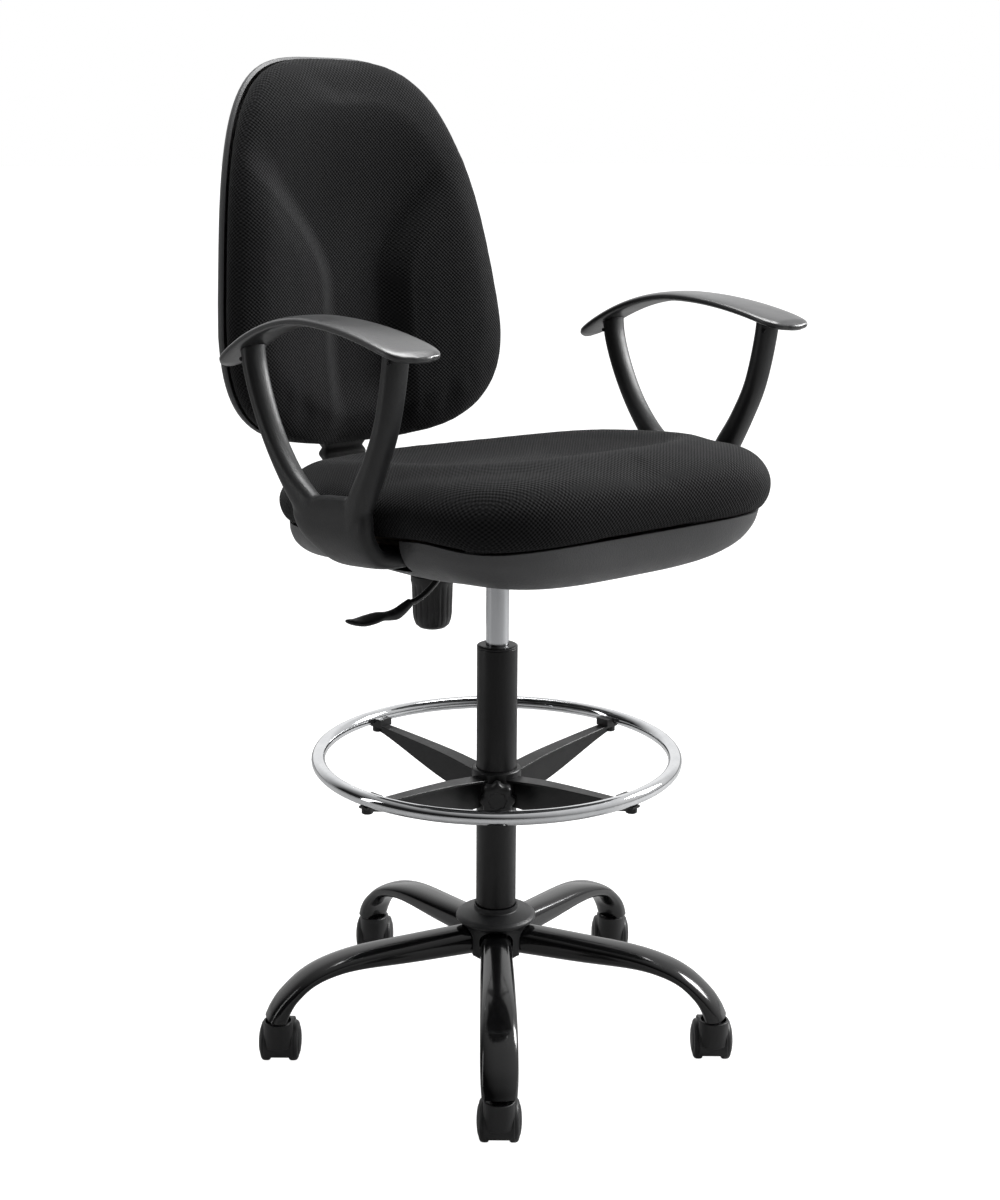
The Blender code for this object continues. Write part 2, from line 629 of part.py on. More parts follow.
def make_mechanism(seat):
    plate_top = BOARD_LOW - GAP
    wall = SHELL_WALL
    outer = rectangle(-0.060, 0.060, -0.080, 0.155)
    inner = rectangle(-0.060 + wall, 0.060 - wall, -0.080 + wall, 0.170)
    housing = slab("mechanism_housing", outer, -0.068, plate_top, POWDER, seat)
    hollow = slab("housing_hollow", inner, -0.090, plate_top - wall, None, seat, cutter=True)
    cut(housing, hollow)
    half = 0.060 - wall / 2
    web = box("socket_web", (-half, -0.040, 0.6400), (half, 0.036, 0.6430), None, seat, True)
    rear_web = box("bolt_web", (-half, 0.112, 0.6450), (half, 0.1535, 0.6480), None, seat, True)
    socket_profile = [(0.0210, 0.6670), (0.0210, 0.6380), (0.0050, 0.6380), (0.0050, 0.6670)]
    socket = lathe("socket_tube", socket_profile, 20, None, seat, cutter=True)
    fuse(housing, web, rear_web, socket)
    bore_profile = [(0.0, 0.6700), (0.0134, 0.6700), (CYLINDER_RADIUS + GAP, 0.6330), (0.0, 0.6330)]
    bore = lathe("socket_bore", bore_profile, 20, None, seat, closed=False, cutter=True)
    pin_hole = cylinder("pin_hole", 0.0054, (-0.080, PIVOT_Y, PIVOT_Z), (0.080, PIVOT_Y, PIVOT_Z),
                        14, None, seat, cutter=True)
    bolt_hole = hole("tension_bolt_hole", 0.0, TENSION_Y, 0.640, 0.655, seat, 0.0046, 14)
    window = box("lever_window", (-0.064, 0.006, 0.610), (-0.050, 0.034, 0.668), None, seat, True)
    cut(housing, bore, pin_hole, bolt_hole, window)
    for i, (x, y) in enumerate(SEAT_BOLTS):
        level = seat_level(y)
        cut(housing, hole(f"plate_hole_{i}", x, y, level - 0.022, level - 0.005, seat))
    pin_profile = [(0.0, 0.0665), (0.0075, 0.0665), (0.0075, 0.0635), (0.0050, 0.0630),
                   (0.0050, -0.0660), (0.0, -0.0660)]
    pin = lathe("back_pivot_pin", pin_profile, 16, STEEL, seat, closed=False)
    pin.location = (0.0, PIVOT_Y, PIVOT_Z)
    pin.rotation_euler = (0.0, math.pi / 2, 0.0)


def make_lever(seat):
    valve = empty("valve_axis", (0, 0, 0), seat)
    pin_profile = [(0.0, 0.6700), (0.0030, 0.6690), (0.0030, 0.6460), (0.0, 0.6460)]
    lathe("gas_valve_pin", pin_profile, 14, STEEL, valve, closed=False)
    pivot = empty("lever_pivot", LEVER_PIVOT, seat)
    knots = [(0.000, 0.002, 0.6750), (-0.022, 0.006, 0.6750), (-0.044, 0.016, 0.6650),
             (-0.058, 0.020, 0.6470), (-0.0681, 0.020, 0.6289), (-0.0816, 0.020, 0.6149),
             (-0.0951, 0.020, 0.6050), (-0.1080, 0.020, 0.5990), (-0.1180, 0.020, 0.5970)]
    path = spline([Vector(knot) - LEVER_PIVOT for knot in knots], 2)
    rings = []
    for i, point in enumerate(path):
        ahead = path[min(i + 1, len(path) - 1)] - path[max(i - 1, 0)]
        across = Vector((0, 1, 0))
        normal = ahead.cross(across).normalized()
        across = normal.cross(ahead).normalized()
        rings.append(rounded_section(point, across, normal, 0.0040, 0.0036, 8, 2.0))
    loft("height_lever", rings, GLOSS, pivot)

    # (x, z, half width, half thickness) of the moulded paddle, from the rod outwards
    paddle = [(-0.1186, 0.5968, 0.0058, 0.0052), (-0.128, 0.5915, 0.0070, 0.0066),
              (-0.138, 0.5870, 0.0080, 0.0066), (-0.150, 0.5862, 0.0090, 0.0052),
              (-0.163, 0.5875, 0.0125, 0.0046), (-0.177, 0.5860, 0.0150, 0.0044),
              (-0.191, 0.5850, 0.0140, 0.0038), (-0.203, 0.5872, 0.0095, 0.0030),
              (-0.2085, 0.5890, 0.0035, 0.0018)]
    stations = [Vector(values) for values in paddle]
    rings = []
    for x, z, half_width, half_thickness in stations:
        centre = Vector((x, 0.020, z)) - LEVER_PIVOT
        rings.append(rounded_section(centre, Vector((0, 1, 0)), Vector((0, 0, 1)), half_width,
                                     half_thickness, 12, 2.3))
    loft("lever_paddle", rings, NYLON, pivot)


def make_tension(seat):
    bolt_profile = [(0.0, 0.6534), (0.0080, 0.6534), (0.0080, 0.6484), (0.0040, 0.6480),
                    (0.0040, 0.5400), (0.0, 0.5400)]
    bolt = lathe("tension_bolt", bolt_profile, 14, STEEL, seat, closed=False)
    bolt.location = (0.0, TENSION_Y, 0.0)
    axis = empty("knob_axis", (0.0, TENSION_Y, 0.0), seat)
    knob_profile = [
        (0.0245, 0.5950), (0.0275, 0.5940), (0.0275, 0.5860), (0.0262, 0.5820),
        (0.0250, 0.5420), (0.0215, 0.5300), (0.0140, 0.5245), (0.0, 0.5240)]
    inside = [(0.0, 0.5392), (0.0044, 0.5392), (0.0044, 0.5440), (0.0075, 0.5440),
              (0.0075, 0.5330), (0.0180, 0.5330), (0.0222, 0.5440), (0.0240, 0.5900)]
    lathe("tension_knob", knob_profile + inside, 16, NYLON, axis, closed=True)

    turns, steps, low, high, radius = 5.5, 8, 0.5355, 0.6115, 0.0104
    curve = bpy.data.curves.new("tension_spring", "CURVE")
    curve.dimensions = "3D"
    curve.bevel_depth = 0.0014
    curve.bevel_resolution = 1
    curve.use_fill_caps = True
    line = curve.splines.new("POLY")
    total = int(turns * steps)
    line.points.add(total)
    for i in range(total + 1):
        angle = math.tau * i / steps
        height = low + (high - low) * i / total
        line.points[i].co = (radius * math.cos(angle), radius * math.sin(angle), height, 1.0)
    curve.materials.append(STEEL)
    spring = bpy.data.objects.new("tension_spring", curve)
    spring.location = (0.0, TENSION_Y, 0.0)
    spring.parent = seat
    PARTS.objects.link(spring)


# ---------------------------------------------------------------- armrests
# (y, z, half depth, half width) down the two legs of the frame
REAR_LEG = [(0.1010, 0.9120, 0.0115, 0.0145), (0.0960, 0.8800, 0.0110, 0.0145),
            (0.0800, 0.8400, 0.0110, 0.0140), (0.0560, 0.8000, 0.0115, 0.0135),
            (0.0260, 0.7650, 0.0140, 0.0130), (-0.0020, 0.7420, 0.0180, 0.0125),
            (-0.0300, 0.7250, 0.0200, 0.0118)]
FRONT_LEG = [(-0.1710, 0.9480, 0.0120, 0.0145), (-0.1680, 0.9050, 0.0118, 0.0145),
             (-0.1540, 0.8450, 0.0120, 0.0142), (-0.1330, 0.8000, 0.0130, 0.0142),
             (-0.1120, 0.7650, 0.0155, 0.0140), (-0.1000, 0.7430, 0.0165, 0.0130),
             (-0.0950, 0.7250, 0.0170, 0.0118)]
ARM_MIDDLE_Y = -0.0600
# (x, y, z, half depth, half thickness) from between the legs round to the end of the foot
PLATE = [(0.0, -0.0580, 0.7560, 0.0250, 0.0085), (0.0, -0.0520, 0.7450, 0.0620, 0.0115),
         (0.0, -0.0525, 0.7320, 0.0685, 0.0120), (-0.0010, -0.0590, 0.7150, 0.0620, 0.0120),
         (-0.0070, -0.0700, 0.7000, 0.0520, 0.0116), (-0.0170, -0.0760, 0.6890, 0.0470, 0.0112),
         (-0.0330, -0.0780, 0.6845, 0.0450, 0.0107), (-0.0600, -0.0780, 0.6838, 0.0450, 0.0107),
         (-0.1300, -0.0780, 0.6838, 0.0450, 0.0107)]
# (y, half width) along the pad
PAD = [(0.1530, 0.0090), (0.1480, 0.0165), (0.1330, 0.0220), (0.0850, 0.0240), (0.0300, 0.0245),
       (-0.0300, 0.0262), (-0.0900, 0.0295), (-0.1450, 0.0325), (-0.1850, 0.0335),
       (-0.2030, 0.0305), (-0.2125, 0.0240), (-0.2165, 0.0120)]
PAD_HALF_THICKNESS = 0.0060
PAD_CREST_Y = -0.040
PAD_FRONT_CURVE = 0.80          # drop per square of the distance from the crest
PAD_REAR_CURVE = 1.70


def pad_curve(y):
    return PAD_REAR_CURVE if y > PAD_CREST_Y else PAD_FRONT_CURVE


def pad_top(y):
    return 0.9475 - pad_curve(y) * (y - PAD_CREST_Y) ** 2


def make_arm(seat, side, label):
    x_middle = side * ARM_X
    frame = None
    for name, table in (("rear", REAR_LEG), ("front", FRONT_LEG)):
        stations = [Vector(values) for values in table]
        rings = []
        for i, (y, z, half_depth, half_width) in enumerate(stations):
            last = len(stations) - 1
            ahead = stations[min(i + 1, last)] - stations[max(i - 1, 0)]
            down = Vector((0, ahead[0], ahead[1])).normalized()
            depth = Vector((1, 0, 0)).cross(down)
            rings.append(rounded_section(Vector((x_middle, y, z)), Vector((1, 0, 0)), depth,
                                         half_width, half_depth, 10))
        if frame is None:
            frame = loft(f"arm_frame_{label}", rings, PLASTIC, seat)
        else:
            fuse(frame, loft(f"{name}_leg_{label}", rings, None, seat, cutter=True))
    stations = [Vector(values) for values in PLATE]
    rings = []
    for i, (x, y, z, half_depth, half_thickness) in enumerate(stations):
        last = len(stations) - 1
        ahead = stations[min(i + 1, last)] - stations[max(i - 1, 0)]
        along = Vector((side * ahead[0], 0, ahead[2])).normalized()
        normal = along.cross(Vector((0, 1, 0)))
        centre = Vector((x_middle + side * x, y, z))
        ring = rounded_section(centre, Vector((0, 1, 0)), normal, half_depth, half_thickness, 14,
                               4.0)
        rings.append([p - Vector((0, 0, SEAT_SLOPE * (p.y - ARM_MIDDLE_Y))) for p in ring])
    fuse(frame, loft(f"plate_{label}", rings, None, seat, cutter=True))
    pad_rings, clear_rings = [], []
    for y, half_width in PAD:
        normal = Vector((0, 2 * pad_curve(y) * (y - PAD_CREST_Y), 1)).normalized()
        top = Vector((x_middle, y, pad_top(y)))
        pad_rings.append(rounded_section(top - normal * PAD_HALF_THICKNESS, Vector((1, 0, 0)),
                                         normal, half_width, PAD_HALF_THICKNESS, 12, 3.0))
        low = top - normal * (2 * PAD_HALF_THICKNESS + GAP)
        high = top + normal * 0.030
        wide = Vector((side * 0.040, 0, 0))
        clear_rings.append([low - wide, low + wide, high + wide, high - wide])
    loft(f"arm_pad_{label}", pad_rings, PLASTIC, seat)
    cut(frame, loft(f"pad_space_{label}", clear_rings, None, seat, cutter=True))
    for i, (x, y) in enumerate(ARM_BOLTS):
        level = seat_level(y)
        cut(frame, hole(f"foot_hole_{label}_{i}", side * x, y, level - 0.060, level + 0.010, seat))


# ---------------------------------------------------------------- back
BAR_BOTTOM_Z = 0.618
BAR_Y = 0.324
BAR_TOP = 0.930
BAR_LEAN = 0.052
BACK_COUNT = 28


def bar_y(z):
    return BAR_Y + BAR_LEAN * (z - 0.70)


def seam_y(x, z):
    """Depth of the seam between the back's cushion and its shell."""
    wrap = BACK_WRAP * (x / BACK_HALF_WIDTH) ** 2
    bend = 0.30 * max(0.90 - z, 0.0) ** 2 + 0.20 * max(z - 0.94, 0.0) ** 2
    return BACK_SEAM_Y + BACK_LEAN * (z - 0.86) + bend - wrap


def back_outline(scale, count):
    points = []
    for i in range(count):
        angle = math.tau * (i + 0.5) / count
        cosine, sine = math.cos(angle), math.sin(angle)
        if sine > 0:
            power, height, taper = 3.6, BACK_TOP - BACK_WAIST_HEIGHT, 0.20
        else:
            power, height, taper = 2.9, BACK_WAIST_HEIGHT - BACK_BOTTOM, 0.0
        rise = abs(sine) ** (2 / power)
        x = BACK_HALF_WIDTH * math.copysign(abs(cosine) ** (2 / power), cosine)
        x *= 1 - taper * rise
        points.append((x * scale, BACK_WAIST_HEIGHT + math.copysign(rise, sine) * height * scale))
    return points


def back_ring(scale, forward, count=BACK_COUNT):
    return [Vector((x, seam_y(x, z) - forward, z)) for x, z in back_outline(scale, count)]


def make_back_bar(recline):
    origin = Vector((0.0, PIVOT_Y, PIVOT_Z))
    path = [(0.066, PIVOT_Z), (PIVOT_Y, PIVOT_Z), (0.096, 0.6285), (0.112, BAR_BOTTOM_Z),
            (0.150, BAR_BOTTOM_Z), (0.220, BAR_BOTTOM_Z), (0.282, BAR_BOTTOM_Z)]
    bend = 0.040
    corner = Vector((bar_y(BAR_BOTTOM_Z) - bend, BAR_BOTTOM_Z + bend))
    path += [(corner.x + bend * math.sin(a), corner.y - bend * math.cos(a))
             for a in [math.radians(d) for d in (22.5, 45.0, 67.5)]]
    path += [(bar_y(z), z) for z in (0.660, 0.740, 0.840, BAR_TOP)]
    rings = []
    for i, (y, z) in enumerate(path):
        before, after = path[max(i - 1, 0)], path[min(i + 1, len(path) - 1)]
        along = Vector((0, after[0] - before[0], after[1] - before[1])).normalized()
        normal = Vector((1, 0, 0)).cross(along)
        centre = Vector((0, y, z)) - origin
        half = 0.0030
        side = Vector((0.0250, 0, 0))
        rings.append([centre - side - normal * half, centre + side - normal * half,
                      centre + side + normal * half, centre - side + normal * half])
    bar = loft("back_bar", rings, POWDER, recline)
    eye = cylinder("bar_eye", 0.0095, (-0.0250, 0, 0), (0.0250, 0, 0), 20, None, recline, True)
    fuse(bar, eye)
    cut(bar, cylinder("eye_bore", 0.0054, (-0.04, 0, 0), (0.04, 0, 0), 14, None, recline, True),
        cylinder("bolt_slot", 0.0108, Vector((0, TENSION_Y, 0.600)) - origin,
                 Vector((0, TENSION_Y, 0.640)) - origin, 16, None, recline, True))

    # concertina sleeve over the upright: alternating wide and narrow rectangles
    rings, low, high, folds = [], 0.6600, 0.7410, 5
    for i in range(2 * folds + 1):
        z = low + (high - low) * i / (2 * folds)
        reach = 0.0 if i % 2 else 0.0035
        half_x, half_y = 0.0300 + reach, 0.0070 + reach
        centre = Vector((0, bar_y(z), z)) - origin
        rings.append([centre + Vector((sx * half_x, sy * half_y, 0))
                      for sx, sy in ((-1, -1), (1, -1), (1, 1), (-1, 1))])
    sleeve = loft("bar_bellows", rings, RUBBER, recline)
    rings = []
    for z in (0.640, 0.760):
        centre = Vector((0, bar_y(z), z)) - origin
        rings.append([centre + Vector((sx * 0.0256, sy * 0.0038, 0))
                      for sx, sy in ((-1, -1), (1, -1), (1, 1), (-1, 1))])
    cut(sleeve, loft("sleeve_passage", rings, None, recline, cutter=True))


def make_back(recline):
    origin = Vector((0.0, PIVOT_Y, PIVOT_Z))
    carrier = empty("back_carrier", -origin, recline)
    section = [(0.080, GAP), (0.450, GAP), (0.900, GAP), (0.975, GAP), (0.995, 0.006),
               (1.000, 0.016), (0.985, 0.029), (0.930, 0.040), (0.830, 0.0460), (0.650, 0.0430),
               (0.350, 0.0340)]
    rings = [back_ring(scale, forward) for scale, forward in section]
    loft("back_cushion", rings, FABRIC, carrier)

    faces = ((0.08, 0.45, 0.9), -GAP), ((0.9, 0.45, 0.08), -0.0104)
    rings = [back_ring(scale, forward) for scales, forward in faces for scale in scales]
    board = loft("back_board", rings, PLYWOOD, carrier)
    guide_rings, slot_rings = [], []
    for z in (0.840, 0.925):
        front, rear = seam_y(0, z) + 0.0060, bar_y(z) + 0.0095
        guide_rings.append([Vector((-0.036, front, z)), Vector((0.036, front, z)),
                            Vector((0.036, rear, z)), Vector((-0.036, rear, z))])
    for z in (0.780, 0.960):
        near, far = bar_y(z) - 0.0036, bar_y(z) + 0.0036
        slot_rings.append([Vector((-0.0256, near, z)), Vector((0.0256, near, z)),
                           Vector((0.0256, far, z)), Vector((-0.0256, far, z))])
    fuse(board, loft("guide_block", guide_rings, None, carrier, cutter=True))
    cut(board, loft("guide_slot", slot_rings, None, carrier, cutter=True))

    tray = [(0.992, -0.0006), (1.002, -0.0050), (0.990, -0.0140), (0.930, -0.0240),
            (0.800, -0.0340), (0.550, -0.0430), (0.250, -0.0480)]
    rings = [back_ring(scale, forward) for scale, forward in tray]
    centre = Vector((0, seam_y(0, BACK_WAIST_HEIGHT) + 0.0490, BACK_WAIST_HEIGHT))
    shell = bowl("back_shell", rings, centre, SHELL_PLASTIC, carrier)
    wall = shell.modifiers.new("wall", "SOLIDIFY")
    wall.thickness = SHELL_WALL
    wall.offset = -1.0
    cut(shell, box("bar_passage", (-0.034, 0.308, 0.700), (0.034, 0.3520, 0.812), None, carrier,
                   cutter=True))


def build_chair():
    make_base()
    for k in range(LEG_COUNT):
        make_caster(k + 1, FIRST_LEG_ANGLE + k * math.tau / LEG_COUNT)
    make_column()
    make_rod()
    make_foot_ring()
    seat = empty("seat_lift", (0, 0, 0), CHAIR)
    make_gas_cylinder(seat)
    make_seat(seat)
    make_mechanism(seat)
    make_lever(seat)
    make_tension(seat)
    make_arm(seat, 1, "left")
    make_arm(seat, -1, "right")
    recline = empty("back_recline", (0.0, PIVOT_Y, PIVOT_Z), seat)
    make_back_bar(recline)
    make_back(recline)


build_chair()
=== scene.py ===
import json
import math

import bmesh
import bpy
from mathutils import Matrix, Vector

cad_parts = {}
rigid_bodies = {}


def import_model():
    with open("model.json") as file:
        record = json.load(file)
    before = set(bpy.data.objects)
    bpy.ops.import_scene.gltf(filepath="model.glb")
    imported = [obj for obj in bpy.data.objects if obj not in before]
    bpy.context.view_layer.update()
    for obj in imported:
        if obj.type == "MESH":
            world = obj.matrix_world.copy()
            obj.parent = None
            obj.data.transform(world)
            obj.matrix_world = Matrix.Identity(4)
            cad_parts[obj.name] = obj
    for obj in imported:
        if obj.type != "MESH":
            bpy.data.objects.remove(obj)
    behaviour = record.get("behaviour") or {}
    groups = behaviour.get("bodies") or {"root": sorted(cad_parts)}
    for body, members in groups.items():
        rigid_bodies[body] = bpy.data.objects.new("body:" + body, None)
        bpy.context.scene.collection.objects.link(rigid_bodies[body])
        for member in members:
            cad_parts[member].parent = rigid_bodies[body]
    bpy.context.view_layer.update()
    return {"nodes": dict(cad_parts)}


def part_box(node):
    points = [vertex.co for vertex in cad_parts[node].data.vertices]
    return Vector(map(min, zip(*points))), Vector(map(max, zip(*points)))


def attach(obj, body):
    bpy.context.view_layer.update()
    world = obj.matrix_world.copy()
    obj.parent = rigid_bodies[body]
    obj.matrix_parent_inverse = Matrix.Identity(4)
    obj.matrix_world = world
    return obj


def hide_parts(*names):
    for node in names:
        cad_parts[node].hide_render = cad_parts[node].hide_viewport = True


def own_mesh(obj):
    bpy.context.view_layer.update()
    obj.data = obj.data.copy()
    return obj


for item in list(bpy.data.objects):
    bpy.data.objects.remove(item, do_unlink=True)
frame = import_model()

# The column axis is the natural centre of the chair: shapes are built round it, with the
# sitter facing -Y and heights counted as in the CAD, and then moved to the CAD's place.
tube_low, tube_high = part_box("column_tube")
ORIGIN = Vector(((tube_low.x + tube_high.x) / 2, (tube_low.y + tube_high.y) / 2,
                 tube_low.z - 0.1270))
UP = Vector((0, 0, 1))
ACROSS = Vector((1, 0, 0))
BACKWARDS = Vector((0, 1, 0))


# ---------------------------------------------------------------- materials
class Nodes:
    """Writes shader nodes into a tree."""

    def __init__(self, tree):
        self.tree = tree
        self.coordinates = tree.nodes.new("ShaderNodeTexCoord")
        self.place = self.coordinates.outputs["Object"]

    def link(self, source, target):
        if isinstance(source, (int, float)):
            target.default_value = source
        else:
            self.tree.links.new(source, target)

    def math(self, operation, a, b=0.0, c=0.0):
        node = self.tree.nodes.new("ShaderNodeMath")
        node.operation = operation
        for value, socket in zip((a, b, c), node.inputs):
            self.link(value, socket)
        return node.outputs[0]

    def noise(self, scale, detail=3.0, rough=0.55, stretch=None):
        node = self.tree.nodes.new("ShaderNodeTexNoise")
        node.inputs["Scale"].default_value = scale
        node.inputs["Detail"].default_value = detail
        node.inputs["Roughness"].default_value = rough
        self.link(self.stretched(stretch), node.inputs["Vector"])
        return node.outputs["Fac"]

    def cells(self, scale, stretch=None):
        node = self.tree.nodes.new("ShaderNodeTexVoronoi")
        node.inputs["Scale"].default_value = scale
        self.link(self.stretched(stretch), node.inputs["Vector"])
        return node.outputs["Distance"]

    def stretched(self, stretch):
        if stretch is None:
            return self.place
        node = self.tree.nodes.new("ShaderNodeMapping")
        node.inputs["Scale"].default_value = stretch
        self.tree.links.new(self.place, node.inputs["Vector"])
        return node.outputs["Vector"]

    def ramp(self, value, low, high, low_colour, high_colour):
        node = self.tree.nodes.new("ShaderNodeValToRGB")
        node.color_ramp.elements[0].position = low
        node.color_ramp.elements[1].position = high
        node.color_ramp.elements[0].color = (*low_colour, 1)
        node.color_ramp.elements[1].color = (*high_colour, 1)
        self.link(value, node.inputs["Fac"])
        return node.outputs["Color"]

    def span(self, value, low, high, to_low, to_high):
        node = self.tree.nodes.new("ShaderNodeMapRange")
        for key, number in (("From Min", low), ("From Max", high), ("To Min", to_low),
                            ("To Max", to_high)):
            node.inputs[key].default_value = number
        self.link(value, node.inputs["Value"])
        return node.outputs["Result"]

    def bump(self, height, strength, distance, under=None):
        node = self.tree.nodes.new("ShaderNodeBump")
        node.inputs["Strength"].default_value = strength
        node.inputs["Distance"].default_value = distance
        self.link(height, node.inputs["Height"])
        if under is not None:
            self.tree.links.new(under, node.inputs["Normal"])
        return node.outputs["Normal"]

    def along(self, direction):
        """How far the way that a ray goes lies along a direction."""
        node = self.tree.nodes.new("ShaderNodeVectorMath")
        node.operation = "DOT_PRODUCT"
        node.inputs[1].default_value = direction
        self.tree.links.new(self.coordinates.outputs["Generated"], node.inputs[0])
        return node.outputs["Value"]

    def camera_ray(self):
        return self.tree.nodes.new("ShaderNodeLightPath").outputs["Is Camera Ray"]


class Finish(Nodes):
    """The nodes of one material."""

    def __init__(self, name):
        self.material = bpy.data.materials.new(name)
        self.material.use_nodes = True
        super().__init__(self.material.node_tree)
        self.shader = self.tree.nodes["Principled BSDF"]

    def finish(self, colour, roughness, normal, **plain):
        self.tree.links.new(colour, self.shader.inputs["Base Color"])
        self.link(roughness, self.shader.inputs["Roughness"])
        self.tree.links.new(normal, self.shader.inputs["Normal"])
        for key, value in plain.items():
            self.shader.inputs[key.replace("_", " ").title().replace("Ior", "IOR")
                               ].default_value = value
        return self.material


def moulded(name, dark, light, rough, grain, depth, **plain):
    """Moulded plastic or paint: cloudy tone, leather-like grain and rubbed roughness."""
    n = Finish(name)
    cloud = n.noise(7.0, 4.0)
    fine = n.noise(grain, 2.0, 0.6)
    pits = n.cells(grain * 0.55)
    tone = n.math("ADD", n.math("MULTIPLY", cloud, 0.7), n.math("MULTIPLY", fine, 0.3))
    colour = n.ramp(tone, 0.30, 0.72, dark, light)
    gloss = n.span(n.noise(23.0, 5.0, 0.65), 0.3, 0.7, rough - 0.06, rough + 0.06)
    height = n.math("ADD", n.math("MULTIPLY", fine, 0.5), n.math("MULTIPLY", pits, 0.7))
    return n.finish(colour, gloss, n.bump(height, 0.35, depth), **plain)


def woven(name, dark, light, period):
    """Black spacer mesh: diamonds of raised yarn over holes painted near black as painted shade,
    laid on by direction.
    """
    n = Finish(name)
    split = n.tree.nodes.new("ShaderNodeSeparateXYZ")
    n.tree.links.new(n.place, split.inputs[0])
    facing = n.tree.nodes.new("ShaderNodeSeparateXYZ")
    n.tree.links.new(n.coordinates.outputs["Normal"], facing.inputs[0])
    waves = [n.math("COSINE", n.math("MULTIPLY", out, math.tau / period)) for out in split.outputs]
    x, y, z = waves
    faces = [n.math("MULTIPLY", y, z), n.math("MULTIPLY", x, z), n.math("MULTIPLY", x, y)]
    weights = [n.math("POWER", n.math("ABSOLUTE", out), 5.0) for out in facing.outputs]
    total = n.math("ADD", n.math("ADD", weights[0], weights[1]), weights[2])
    height = None
    for face, weight in zip(faces, weights):
        share = n.math("MULTIPLY", face, n.math("DIVIDE", weight, total))
        height = share if height is None else n.math("ADD", height, share)
    cell_height_and_hole_shade = n.span(height, -0.75, 0.75, 0.0, 1.0)
    yarn = n.noise(900.0, 2.0, 0.6)
    lift = n.math("ADD", cell_height_and_hole_shade, n.math("MULTIPLY", yarn, 0.16))
    cloud = n.noise(5.0, 4.0, 0.6)
    # the colour darkens with the height, so the holes carry painted shade; the cloud is the yarn's
    # own uneven tone
    tone = n.math("ADD", n.math("MULTIPLY", lift, 0.75), n.math("MULTIPLY", cloud, 0.30))
    colour = n.ramp(tone, 0.14, 0.98, dark, light)
    gloss = n.span(yarn, 0.3, 0.7, 0.74, 0.92)
    normal = n.bump(lift, 0.60, 0.0012, n.bump(n.noise(38.0, 3.0), 0.10, 0.002))
    return n.finish(colour, gloss, normal, sheen_weight=0.05, sheen_roughness=0.40,
                    specular_ior_level=0.08)


def metal(name, dark, light, rough, ripple, stretch=None, **plain):
    """Metal or gloss paint: smeared tone and roughness over a faint ripple."""
    n = Finish(name)
    smear = n.noise(31.0, 5.0, 0.7, stretch)
    colour = n.ramp(smear, 0.3, 0.7, dark, light)
    gloss = n.span(n.noise(9.0, 4.0, 0.6, stretch), 0.3, 0.7, rough * 0.75, rough * 1.35)
    normal = n.bump(n.noise(260.0, 2.0, 0.5, stretch), ripple, 0.0004)
    return n.finish(colour, gloss, normal, **plain)


def plywood_in_painted_shade(name):
    """The edge of moulded plywood: thin plies of two browns, both darkened as painted shade for
    the dark gaps, such as the arm's notch, where the board shows.
    """
    n = Finish(name)
    plies = n.math("SINE", n.math("MULTIPLY", n.noise(6.0, 2.0, 0.5, (1, 1, 14)), 60.0))
    # both browns are darker than the wood itself: painted shade, since the board shows only in
    # shaded gaps
    colour = n.ramp(n.span(plies, -1, 1, 0, 1), 0.2, 0.8, (0.050, 0.032, 0.020),
                    (0.105, 0.070, 0.042))
    grain = n.noise(120.0, 4.0, 0.6, (1, 9, 1))
    return n.finish(colour, n.span(grain, 0.3, 0.7, 0.6, 0.78), n.bump(grain, 0.3, 0.0006))


FINISH = {
    "mesh_fabric": woven("mesh_fabric", (0.0004, 0.0004, 0.0005), (0.026, 0.026, 0.027), 0.0049),
    "textured_plastic": moulded("textured_plastic", (0.010, 0.0103, 0.011),
                                (0.018, 0.0184, 0.0195), 0.42, 1100.0, 0.0005,
                                specular_ior_level=0.55),
    "pad_plastic": moulded("pad_plastic", (0.022, 0.0224, 0.0235), (0.037, 0.0375, 0.039), 0.33,
                           1000.0, 0.0005, specular_ior_level=0.7, coat_weight=0.35,
                           coat_roughness=0.30),
    "shell_plastic": moulded("shell_plastic", (0.060, 0.0605, 0.062), (0.088, 0.0885, 0.091), 0.46,
                             850.0, 0.0007),
    "gloss_black_steel": metal("gloss_black_steel", (0.0030, 0.0030, 0.0033),
                               (0.0055, 0.0055, 0.0060), 0.16, 0.05, coat_weight=0.4,
                               coat_roughness=0.08),
    "powder_coat": moulded("powder_coat", (0.007, 0.007, 0.0075), (0.013, 0.013, 0.0135), 0.38,
                           1500.0, 0.0004, specular_ior_level=0.45),
    "chrome": metal("chrome", (0.72, 0.73, 0.75), (0.86, 0.87, 0.88), 0.055, 0.02, metallic=1.0),
    "satin_chrome": metal("satin_chrome", (0.60, 0.61, 0.63), (0.80, 0.81, 0.83), 0.17, 0.05,
                          (1, 1, 0.05), metallic=1.0),
    "zinc_steel": metal("zinc_steel", (0.36, 0.36, 0.37), (0.58, 0.58, 0.59), 0.30, 0.10,
                        metallic=1.0),
    "nylon": moulded("nylon", (0.009, 0.009, 0.0095), (0.018, 0.018, 0.019), 0.42, 1300.0, 0.0004),
    "plywood": plywood_in_painted_shade("plywood"),
    "rubber": moulded("rubber", (0.010, 0.010, 0.010), (0.019, 0.019, 0.019), 0.58, 700.0, 0.0006),
}
BOLT_BLACK = metal("bolt_black", (0.012, 0.012, 0.013), (0.028, 0.028, 0.030), 0.34, 0.1,
                   metallic=0.6)


# ---------------------------------------------------------------- mesh helpers
def smoothstep(value, low=0.0, high=1.0):
    value = min(max((value - low) / (high - low), 0.0), 1.0)
    return value * value * (3 - 2 * value)


